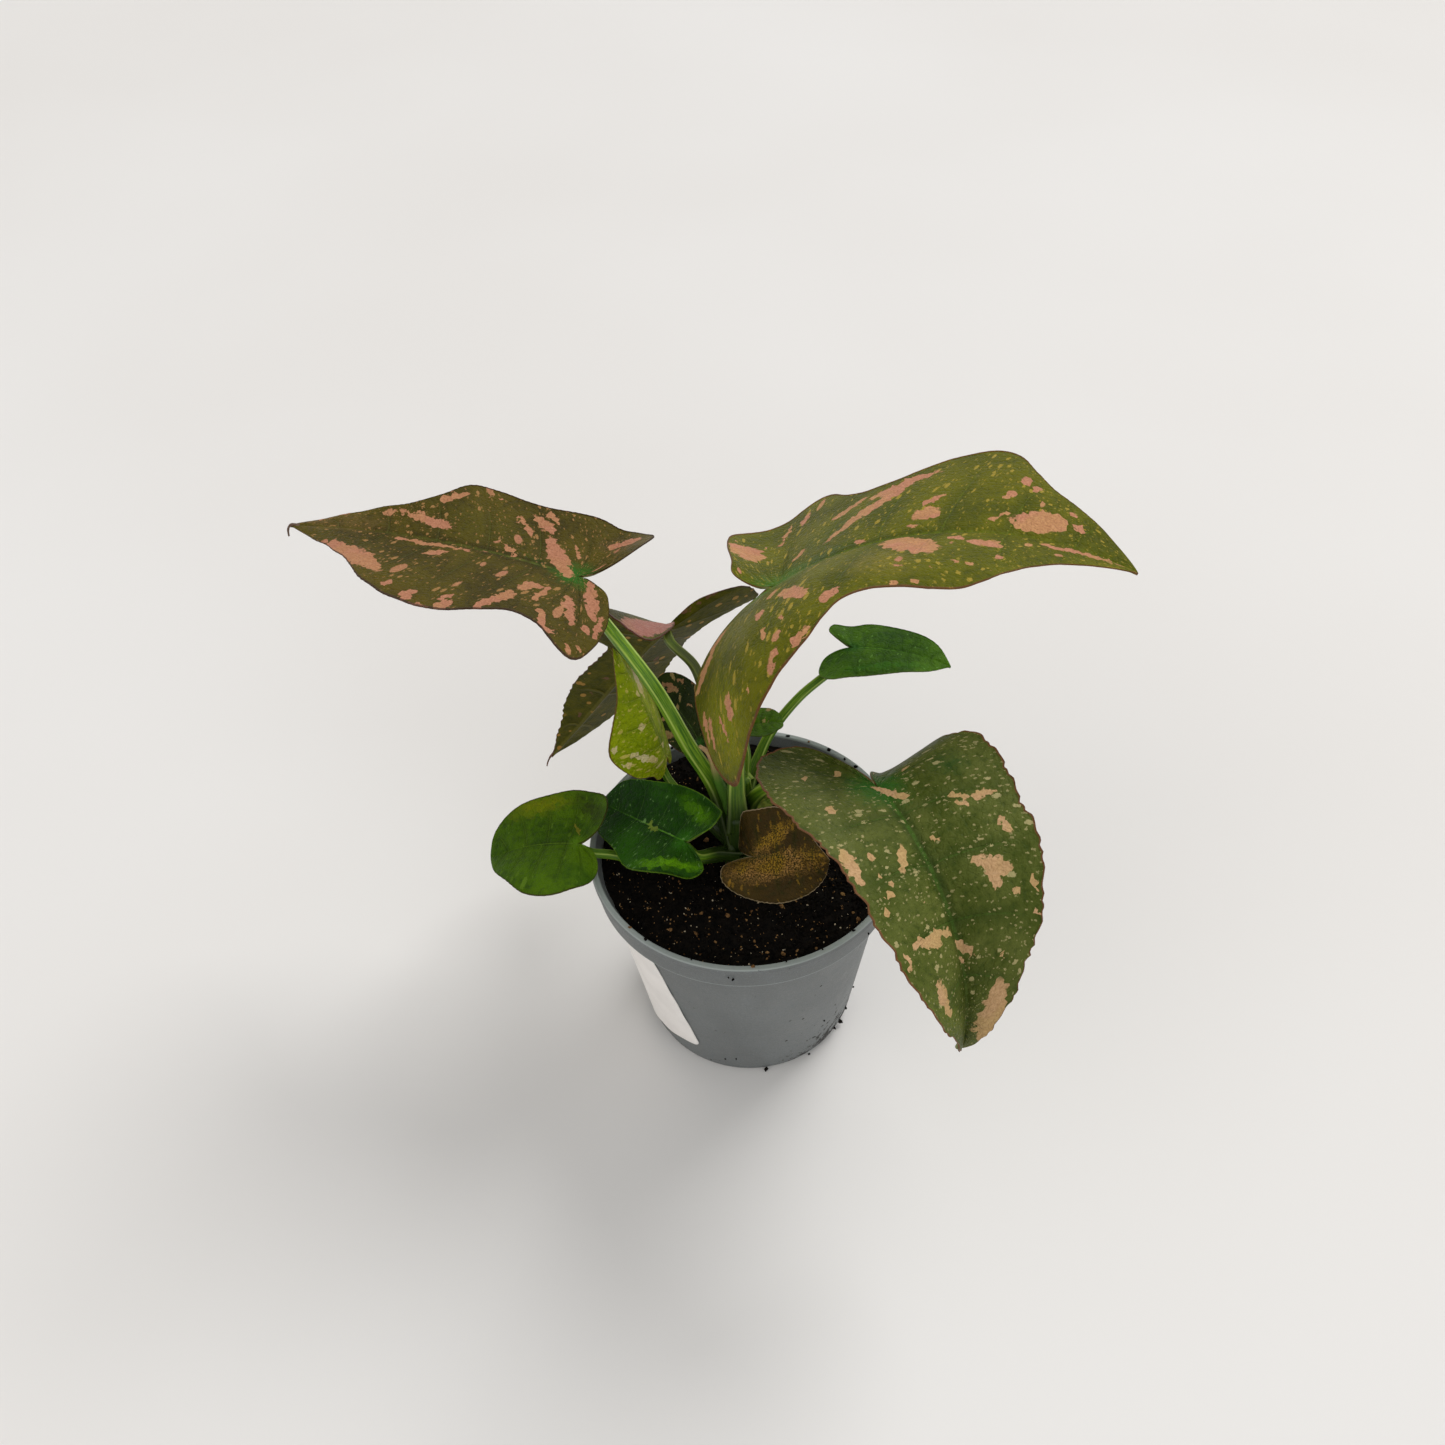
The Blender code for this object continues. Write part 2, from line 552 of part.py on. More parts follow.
def blade_mesh(name, blade):
    """A blade of even thickness, split into triangles alike on both faces."""
    along, across = blade["cells"]
    points, index = [], {}

    def vertex(sign, i, j, place, rib):
        key = ("rib", round(rib, 4)) if j == 0 or i == 0 else (sign, i, j)
        if i == 0:
            key = ("rib", 0.0)
        if i == along:
            key = ("tip",)
        if key not in index:
            index[key] = len(points)
            points.append(place)
        return index[key]

    top = []
    edges = {}
    for sign in (1, -1):
        grid, rib = half_grid(blade, sign)
        ids = [[vertex(sign, i, j, grid[i, j], rib[i]) for j in range(across + 1)]
               for i in range(along + 1)]
        edges[sign] = [row[-1] for row in ids]
        for i in range(along):
            for j in range(across):
                quad = [ids[i][j], ids[i + 1][j], ids[i + 1][j + 1], ids[i][j + 1]]
                for triangle in ((quad[0], quad[1], quad[2]), (quad[0], quad[2], quad[3])):
                    if len(set(triangle)) == 3:
                        top.append(triangle if sign > 0 else triangle[::-1])
    border = edges[-1][:-1] + edges[1][:0:-1]
    upper = np.array(points)
    lower = upper - thick_offset(upper, top, blade)
    count = len(upper)
    faces = list(top)
    faces += [tuple(corner + count for corner in triangle[::-1]) for triangle in top]
    for place, first in enumerate(border):
        second = border[(place + 1) % len(border)]
        faces += [(first, second, second + count), (first, second + count, first + count)]
    mesh = mesh_of(name, np.concatenate([upper, lower]), faces)
    outward(mesh)
    return mesh


def thick_offset(points, triangles, blade):
    """The step from the upper face to the lower one at each point, even near the base."""
    normals = np.zeros_like(points)
    for a, b, c in triangles:
        normal = np.cross(points[b] - points[a], points[c] - points[a])
        for corner in (a, b, c):
            normals[corner] += normal
    normals /= np.linalg.norm(normals, axis=1)[:, None]
    distance = np.linalg.norm(points - np.array(blade["base"]), axis=1)[:, None]
    nearness = np.exp(-(distance / BASE_EVENNESS) ** 2)
    normals = normals * (1 - nearness) + blade_axes(blade)[2] * nearness
    normals /= np.linalg.norm(normals, axis=1)[:, None]
    return normals * BLADE_THICKNESS


def outward(mesh):
    """Turn a closed mesh's faces outwards."""
    work = bmesh.new()
    work.from_mesh(mesh)
    bmesh.ops.recalc_face_normals(work, faces=work.faces)
    work.to_mesh(mesh)
    work.free()


def petiole_route(petiole, blade):
    """The route from the shoot through its own points to the knee and the blade's underside."""
    tip, _, face = blade_axes(blade)
    lie = petiole["lie"]
    ahead = (face * (1 - lie) + tip * lie) / math.hypot(lie, 1 - lie)
    reach = BLADE_THICKNESS + GAP + petiole["radii"][1] * lie / math.hypot(lie, 1 - lie)
    end = np.array(blade["base"]) - face * reach
    knee = end - ahead * KNEE
    return smooth_route([*petiole["via"], knee, end], PETIOLE_STEP)


def make_shoot(name, shoot, petioles, collection, material):
    """A shoot with its petioles, joined into the one body that they grow as."""
    body = add_object(name, tube_mesh(name, smooth_route([shoot["foot"], shoot["top"]], PETIOLE_STEP),
                                      shoot["radii"]), collection, material)
    joined = new_collection(name + "_petioles")
    for blade_name, petiole in petioles.items():
        if blade_name in BLADES:
            route = petiole_route(petiole, BLADES[blade_name])
        else:
            route = smooth_route(petiole["via"], PETIOLE_STEP)
        add_object(name + "_to_" + blade_name, tube_mesh(blade_name, route, petiole["radii"]), joined)
    union = body.modifiers.new("join", "BOOLEAN")
    union.operation = "UNION"
    union.operand_type = "COLLECTION"
    union.collection = joined
    union.solver = "MANIFOLD"
    evaluated = body.evaluated_get(bpy.context.evaluated_depsgraph_get())
    mesh = bpy.data.meshes.new_from_object(evaluated)
    body.modifiers.clear()
    body.data = mesh
    for obj in list(joined.objects):
        bpy.data.objects.remove(obj, do_unlink=True)
    bpy.data.collections.remove(joined)
    return body


def sheath_point(u, v, depth):
    """A point of the dry sheath, which narrows to a point as it goes up the shoot."""
    first, last = SHEATH_DIRECTIONS
    low, high = SHEATH_SPAN
    foot, top = np.array(FRONT_SHOOT["foot"]), np.array(FRONT_SHOOT["top"])
    height = low + (high - low) * v
    share = (height - foot[2]) / (top[2] - foot[2])
    axis = foot + (top - foot) * share
    narrow = 1.0 - 0.85 * v ** 2
    angle = math.radians((first + last) / 2 + (last - first) * (u - 0.5) * narrow)
    shoot_radius = FRONT_SHOOT["radii"][0] * (1 - share) + FRONT_SHOOT["radii"][1] * share
    radius = shoot_radius + GAP + depth + 0.5 * v ** 2
    return (axis[0] + radius * math.cos(angle), axis[1] + radius * math.sin(angle), height)


def make_sheath(collection, material):
    """The dry sheath is a thin curled sheet beside the shoot."""
    mesh = wrapped_sheet("dry_sheath", sheath_point, SHEATH_THICKNESS, SHEATH_CELLS)
    return add_object("dry_sheath", mesh, collection, material)


def main():
    """Build the potted plant."""
    clear_scene()
    plant = new_collection("potted_pink_splash_syngonium")
    cutters = new_collection("cutters")
    pot_grey = principled("pot_grey", (0.20, 0.215, 0.235), 0.55)
    label_white = principled("label_white", (0.82, 0.82, 0.82), 0.6)
    peat = principled("peat", (0.018, 0.012, 0.009), 0.95)
    stem_green = principled("stem_green", (0.13, 0.27, 0.035), 0.45)
    dry_brown = principled("dry_brown", (0.16, 0.09, 0.045), 0.8)
    greens = {
        "dark": principled("leaf_dark", (0.055, 0.062, 0.022), 0.5),
        "olive": principled("leaf_olive", (0.13, 0.13, 0.02), 0.5),
        "bright": principled("leaf_bright", (0.07, 0.20, 0.012), 0.45),
    }
    make_pot(plant, cutters, pot_grey)
    make_label(plant, label_white)
    make_soil(plant, cutters, peat)
    make_shoot("front_shoot", FRONT_SHOOT, PETIOLES["front"], plant, stem_green)
    make_shoot("back_shoot", BACK_SHOOT, PETIOLES["back"], plant, stem_green)
    make_sheath(plant, dry_brown)
    for name, blade in BLADES.items():
        mesh = blade_mesh(name, blade)
        add_object(name, mesh, plant, greens[blade.get("green", "dark")])


main()
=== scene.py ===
"""Looks of a small potted pink splash syngonium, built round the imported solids.

Sizes are in millimetres and MM turns them into metres. The origin is the centre of the pot's
base, +Z is up and +Y points to the back. Angles are in degrees. Colours are sRGB, 0 to 255.
"""

import json
import math

import bmesh
import bpy
import numpy as np
from mathutils import Matrix, Vector

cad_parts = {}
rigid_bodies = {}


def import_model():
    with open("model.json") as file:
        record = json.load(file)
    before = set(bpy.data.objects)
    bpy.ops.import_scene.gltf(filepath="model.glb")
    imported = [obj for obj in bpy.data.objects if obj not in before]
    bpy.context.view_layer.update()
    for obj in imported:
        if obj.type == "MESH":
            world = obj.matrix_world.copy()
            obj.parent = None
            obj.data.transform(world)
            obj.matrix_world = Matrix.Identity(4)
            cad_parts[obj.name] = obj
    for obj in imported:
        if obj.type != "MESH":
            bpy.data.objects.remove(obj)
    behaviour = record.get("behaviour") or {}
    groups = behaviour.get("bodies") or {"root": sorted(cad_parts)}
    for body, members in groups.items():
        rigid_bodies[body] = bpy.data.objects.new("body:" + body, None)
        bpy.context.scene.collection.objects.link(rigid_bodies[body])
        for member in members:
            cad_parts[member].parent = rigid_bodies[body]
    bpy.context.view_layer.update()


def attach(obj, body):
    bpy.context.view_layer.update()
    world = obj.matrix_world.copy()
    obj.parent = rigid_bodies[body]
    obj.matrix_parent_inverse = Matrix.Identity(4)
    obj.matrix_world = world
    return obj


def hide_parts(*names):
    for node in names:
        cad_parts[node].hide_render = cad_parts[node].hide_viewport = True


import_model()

MM = 0.001

GAP = 0.3
POT_HEIGHT = 47.5
POT_RIM_RADIUS = 30.0
POT_BASE_RADIUS = 20.9
WALL_TOP_RADIUS = 27.2
WALL = 1.2
COLLAR_HEIGHT = 6.0
COLLAR_RADIUS = 29.2
LIP_WIDTH = 2.1
FLOOR_THICKNESS = 1.6
DRAIN_COUNT = 6
DRAIN_RADIUS = 2.6
DRAIN_RING = 14.0
DRAIN_START = 34.0
LABEL_WIDTH = 27.0
LABEL_HEIGHT = 31.0
LABEL_TILT = 12.0
LABEL_CORNER = (-119.0, 8.0)
SOIL_LEVEL = 44.6
REACH_DIRECTIONS = (14, 30, 52, 80, 112, 138, 157, 167)
FORK = 0.36
BEND_STEPS = 14
LIFT_ONSET = 0.05
LOBE_START = 90
LOBE_FULL = 150
BLADE_THICKNESS = 0.7
KNEE = 2.4

# Photograph's camera
CAMERA_PLACE = (-3.2, -191.6, 275.3)
CAMERA_PITCH = 45.5
CAMERA_ROLL = -2.84
CAMERA_VIEW = 50.0


def linear(colour):
    """A scene-linear colour from an sRGB one."""
    values = []
    for value in colour:
        value = value / 255
        values.append(value / 12.92 if value <= 0.04045 else ((value + 0.055) / 1.055) ** 2.4)
    return (*values, 1.0)


def half(reach, fold, lobe_lift, side_droop, lobe_droop):
    """One side of a blade: its outline radii, as shares of the length, and how it is set."""
    return dict(reach=reach, fold=fold, lobe_lift=lobe_lift,
                side_droop=side_droop, lobe_droop=lobe_droop)


FRONT_SHOOT = dict(foot=(-1.6, -3.6, 36.0), top=(-1.4, -1.6, 57.0), radii=(3.1, 1.9))
BACK_SHOOT = dict(foot=(0.6, 11.5, 38.0), top=(0.2, 12.3, 52.0), radii=(2.3, 1.4))

BLADES = {
    "blade_left_large": dict(
        base=(-28.2, 24.4, 95.2), heading=157, pitch=6, roll=16, length=58.6,
        droop=14, twist=-15, sway=5, ease=1.0, wave=(0.4, 3), cells=(20, 3),
        green="dark",
        left=half((0.74, 0.63, 0.48, 0.31, 0.39, 0.24, 0.15, 0.11), 2, -7, 11, 82),
        right=half((0.63, 0.56, 0.34, 0.30, 0.28, 0.27, 0.15, 0.07), 11, 50, -9, 92)),
    "blade_right_large": dict(
        base=(7.6, 19.0, 95.4), heading=2, pitch=36, roll=-35, length=65.2,
        droop=59, twist=40, sway=5, ease=1.0, wave=(0.3, 2), cells=(24, 4),
        green="olive",
        left=half((0.80, 0.76, 0.45, 0.53, 0.39, 0.19, 0.15, 0.08), 17, 50, 40, -35),
        right=half((0.74, 0.65, 0.43, 0.50, 0.70, 0.46, 0.35, 0.14), 4, 1, 52, 93)),
    "blade_front_large": dict(
        base=(22.1, -19.4, 82.9), heading=295, pitch=8, roll=-2, length=55.5,
        droop=113, twist=-3, sway=-4, ease=1.0, wave=(0.4, 4), cells=(20, 3),
        green="dark",
        left=half((0.73, 0.56, 0.42, 0.38, 0.28, 0.31, 0.15, 0.06), 18, -18, 15, 130),
        right=half((0.78, 0.51, 0.37, 0.33, 0.36, 0.37, 0.30, 0.12), 14, 2, 13, -16)),
    "blade_back_hanging": dict(
        base=(-12.9, 31.7, 75.1), heading=142, pitch=-53, roll=45, length=52.4,
        droop=22, twist=-6, sway=15, ease=0.9, wave=(0.4, 4), cells=(20, 3),
        green="dark",
        left=half((0.58, 0.27, 0.35, 0.34, 0.35, 0.39, 0.23, 0.10), 13, -20, 28, 54),
        right=half((0.77, 0.43, 0.22, 0.18, 0.36, 0.32, 0.19, 0.09), 27, 30, 31, 30)),
    "blade_young_upright": dict(
        base=(-14.2, 9.7, 62.6), heading=152, pitch=78, roll=5, length=25.9,
        droop=17, twist=-1, sway=-2, ease=1.0, wave=(0.15, 3), cells=(14, 3),
        green="olive",
        left=half((0.72, 0.63, 0.57, 0.34, 0.19, 0.20, 0.17, 0.11), -10, -12, 34, 45),
        right=half((0.75, 0.64, 0.51, 0.37, 0.27, 0.23, 0.17, 0.10), -25, -12, 33, 44)),
    "blade_dark_back": dict(
        base=(-7.7, 21.4, 52.5), heading=146, pitch=70, roll=0, length=16.2,
        droop=45, twist=-9, sway=2, ease=1.0, wave=(0.15, 3), cells=(14, 3),
        green="dark",
        left=half((0.88, 0.72, 0.50, 0.27, 0.19, 0.19, 0.16, 0.09), 0, -6, 19, 28),
        right=half((1.01, 0.79, 0.51, 0.30, 0.21, 0.19, 0.15, 0.09), 2, -19, 10, 35)),
    "blade_small_back": dict(
        base=(2.0, 17.7, 61.4), heading=4, pitch=11, roll=-2, length=6.6,
        droop=25, twist=-7, sway=0, ease=1.0, wave=(0.15, 3), cells=(14, 3),
        green="bright",
        left=half((1.01, 0.92, 0.80, 0.62, 0.45, 0.36, 0.27, 0.13), 6, 8, 11, 23),
        right=half((0.99, 0.92, 0.80, 0.61, 0.45, 0.37, 0.29, 0.14), 6, -9, 4, 31)),
    "blade_small_right": dict(
        base=(23.5, 33.0, 66.2), heading=-15, pitch=10, roll=-4, length=19.7,
        droop=29, twist=10, sway=0, ease=1.0, wave=(0.15, 3), cells=(14, 3),
        green="bright",
        left=half((0.84, 0.60, 0.44, 0.35, 0.31, 0.34, 0.31, 0.13), 3, 35, 10, 30),
        right=half((0.79, 0.59, 0.46, 0.42, 0.46, 0.45, 0.33, 0.14), -1, -2, 19, 50)),
    "blade_front_round": dict(
        base=(1.5, -11.7, 57.0), heading=-27, pitch=28, roll=30, length=14.5,
        droop=33, twist=22, sway=1, ease=1.0, wave=(0.15, 3), cells=(14, 3),
        green="dark",
        left=half((0.85, 0.81, 0.75, 0.61, 0.59, 0.56, 0.38, 0.15), 14, 0, -10, 70),
        right=half((0.98, 0.90, 0.73, 0.58, 0.52, 0.52, 0.44, 0.18), 1, 20, 17, -21)),
    "blade_front_heart": dict(
        base=(-11.4, -7.9, 58.1), heading=136, pitch=-15, roll=-8, length=23.1,
        droop=-2, twist=-15, sway=0, ease=1.0, wave=(0.15, 3), cells=(14, 3),
        green="bright",
        left=half((0.88, 0.63, 0.52, 0.38, 0.33, 0.37, 0.35, 0.15), 3, -5, 16, 20),
        right=half((0.93, 0.68, 0.52, 0.41, 0.38, 0.43, 0.35, 0.14), 11, 44, -8, 55)),
    "blade_left_round": dict(
        base=(-31.4, -4.2, 54.5), heading=170, pitch=-3, roll=6, length=18.1,
        droop=28, twist=-26, sway=8, ease=1.0, wave=(0.15, 3), cells=(14, 3),
        green="bright",
        left=half((0.93, 0.83, 0.77, 0.66, 0.51, 0.37, 0.23, 0.12), 3, -12, 12, 60),
        right=half((0.98, 0.88, 0.74, 0.67, 0.60, 0.47, 0.29, 0.13), 6, 30, 1, -20)),
    "blade_bud": dict(
        base=(2.7, 6.7, 50.5), heading=20, pitch=20, roll=0, length=5.5,
        droop=20, twist=0, sway=0, ease=1.0, wave=(0.0, 1), cells=(8, 2), green="bright",
        left=half((0.85, 0.70, 0.55, 0.42, 0.36, 0.34, 0.26, 0.12), 15, 0, 10, 20),
        right=half((0.85, 0.70, 0.55, 0.42, 0.36, 0.34, 0.26, 0.12), 15, 0, 10, 20)),
}

# Petioles: the route's own points up to the knee under the blade, the foot and tip radii,
# and how far the end lies along the blade, from 0 for square to it to 1 for in line
PETIOLES = {
    "front": {
        "blade_left_large": dict(
            via=((-1.8, -2.5, 49.0), (-5.2, 4.0, 59.0), (-9.6, 5.8, 68.6), (-15.4, 7.6, 83.2)),
            radii=(1.7, 1.1), lie=0.5),
        "blade_right_large": dict(
            via=((-1.2, -1.8, 54.0), (-1.2, 0.6, 64.0), (0.5, 7.0, 79.0)), radii=(1.7, 1.1), lie=0.3),
        "blade_front_large": dict(
            via=((-0.8, -1.6, 52.0), (1.4, 0.6, 58.0), (5.0, -2.5, 66.0), (11.0, -9.0, 74.0)),
            radii=(1.4, 0.9), lie=0.5),
        "blade_young_upright": dict(
            via=((-2.2, -1.8, 48.5), (-8.4, 4.0, 51.6), (-14.0, 9.6, 55.4)), radii=(1.0, 0.7), lie=1.0),
        "blade_front_round": dict(
            via=((-1.2, -3.8, 46.8), (0.2, -6.4, 48.8), (1.0, -8.6, 50.6)), radii=(1.2, 0.8), lie=0.3),
        "blade_front_heart": dict(
            via=((-2.0, -4.0, 48.4), (-5.8, -6.6, 52.5)), radii=(1.1, 0.8), lie=0.5),
        "blade_left_round": dict(
            via=((-2.4, -2.6, 47.4), (-9.0, -4.8, 48.9), (-18.0, -5.6, 49.8), (-25.5, -4.4, 50.9)),
            radii=(1.1, 0.8), lie=0.8),
        "young_roll": dict(
            via=((-2.0, -0.5, 54.0), (-4.4, 3.6, 61.0), (-6.0, 5.6, 66.5), (-7.6, 5.4, 69.0)),
            radii=(1.3, 0.3)),
    },
    "back": {
        "blade_small_right": dict(
            via=((0.8, 13.0, 46.5), (3.0, 18.0, 49.5), (6.0, 23.0, 52.8), (12.0, 27.5, 58.0),
                 (16.6, 29.6, 61.0)), radii=(1.1, 0.8), lie=0.5),
        "blade_small_back": dict(via=((0.4, 13.2, 48.5), (1.2, 15.5, 55.0)), radii=(0.9, 0.7), lie=0.5),
        "blade_dark_back": dict(via=((0.0, 12.5, 46.8), (-4.0, 17.0, 48.0)), radii=(0.9, 0.7), lie=0.8),
        "blade_back_hanging": dict(
            via=((0.0, 12.8, 50.0), (-3.5, 17.5, 56.5), (-6.0, 23.5, 63.0), (-8.2, 27.5, 68.5)),
            radii=(1.3, 0.9), lie=0.3),
        "blade_bud": dict(via=((0.4, 10.8, 46.8), (1.6, 8.2, 48.4)), radii=(0.8, 0.6), lie=0.5),
    },
}


def hermite(start, end, start_slope, end_slope, share):
    """Cubic between two points with given end slopes."""
    s2, s3 = share ** 2, share ** 3
    return ((2 * s3 - 3 * s2 + 1) * start + (s3 - 2 * s2 + share) * start_slope
            + (3 * s2 - 2 * s3) * end + (s3 - s2) * end_slope)


def smooth_route(points, step):
    """Points every step or so along a smooth curve through the route's own points."""
    nodes = np.array(points, float)
    spans = np.linalg.norm(np.diff(nodes, axis=0), axis=1)
    times = np.concatenate([[0.0], np.cumsum(np.sqrt(spans))])
    slopes = np.gradient(nodes, times, axis=0)
    counts = np.maximum(1, np.rint(spans / step)).astype(int)
    route = []
    for index, count in enumerate(counts):
        length = times[index + 1] - times[index]
        for k in range(count):
            route.append(hermite(nodes[index], nodes[index + 1],
                                 slopes[index] * length, slopes[index + 1] * length, k / count))
    route.append(nodes[-1])
    return np.array(route)


def blade_axes(blade):
    """Directions of a blade's tip, left side and upper face at its base."""
    heading, pitch, roll = (math.radians(blade[key]) for key in ("heading", "pitch", "roll"))
    ahead = np.array([math.cos(heading), math.sin(heading), 0.0])
    left = np.array([-math.sin(heading), math.cos(heading), 0.0])
    up = np.array([0.0, 0.0, 1.0])
    tip = math.cos(pitch) * ahead + math.sin(pitch) * up
    face = math.cos(pitch) * up - math.sin(pitch) * ahead
    side = math.cos(roll) * left + math.sin(roll) * face
    return tip, side, math.cos(roll) * face - math.sin(roll) * left


def outline(blade, sign, count):
    """Flat points of one side's edge, from the notch at the base round the lobe to the tip."""
    reach = (1.0,) + blade["left" if sign > 0 else "right"]["reach"]
    corners = [(blade["length"] * share * math.cos(math.radians(angle)),
                sign * blade["length"] * share * math.sin(math.radians(angle)))
               for share, angle in zip(reach, (0,) + REACH_DIRECTIONS)]
    corners = np.array([(0.0, 0.0)] + corners[::-1])
    spans = np.linalg.norm(np.diff(corners, axis=0), axis=1)
    lengths = np.concatenate([[0.0], np.cumsum(spans)])
    times = np.concatenate([[0.0], np.cumsum(np.sqrt(spans))])
    slopes = np.gradient(corners, times, axis=0)
    points = []
    for place in np.linspace(0.0, lengths[-1], count + 1):
        time = np.interp(place, lengths, times)
        index = min(np.searchsorted(times, time, side="right") - 1, len(spans) - 1)
        span = times[index + 1] - times[index]
        points.append(hermite(corners[index], corners[index + 1], slopes[index] * span,
                              slopes[index + 1] * span, (time - times[index]) / span))
    return np.array(points)


def blend_directions(angle, tip, side, lobe):
    """A value that goes from the tip's to the side's to the lobe's as the direction turns."""
    to_side = np.sin(np.minimum(angle, math.pi / 2))
    start, full = math.radians(LOBE_START), math.radians(LOBE_FULL)
    share = np.clip((angle - start) / (full - start), 0.0, 1.0)
    to_lobe = share ** 2 * (3 - 2 * share)
    return tip + (side - tip) * to_side + (lobe - side) * to_lobe


def blade_surface(blade, flat, sign):
    """Bend flat points of one side into the blade's upper face, outwards from its base."""
    half_blade = blade["left" if sign > 0 else "right"]
    length = blade["length"]
    distance = np.hypot(flat[..., 0], flat[..., 1])
    angle = np.abs(np.arctan2(flat[..., 1], flat[..., 0]))
    lift = blend_directions(angle, 0.0, half_blade["fold"], half_blade["lobe_lift"])
    droop = blend_directions(angle, blade["droop"], half_blade["side_droop"], half_blade["lobe_droop"])
    tip, side, face = blade_axes(blade)
    along = (np.arange(BEND_STEPS) + 0.5) / BEND_STEPS * distance[..., None] / length
    onset = 1 - np.exp(-along / LIFT_ONSET)
    climb = lift[..., None] * onset - droop[..., None] * along ** blade["ease"]
    climb = np.radians(climb + sign * blade["twist"] * along * np.sin(angle)[..., None])
    turn = sign * angle[..., None] + np.radians(blade["sway"]) * along ** 2
    step = (distance / BEND_STEPS)[..., None]
    ahead = (np.cos(climb) * np.cos(turn) * step).sum(-1)[..., None]
    aside = (np.cos(climb) * np.sin(turn) * step).sum(-1)[..., None]
    above = (np.sin(climb) * step).sum(-1)[..., None]
    return np.array(blade["base"]) + ahead * tip + aside * side + above * face


def ripples(x, y, seed):
    """Smooth irregular waves between -1 and 1."""
    total = 0.0
    for k in range(5):
        turn = seed * 1.7 + k * 2.4
        scale = 0.55 + 0.4 * k
        total = total + np.sin(scale * (x * math.cos(turn) + y * math.sin(turn)) + seed * 3.1 + k) / (1 + 0.5 * k)
    return total / 2.6


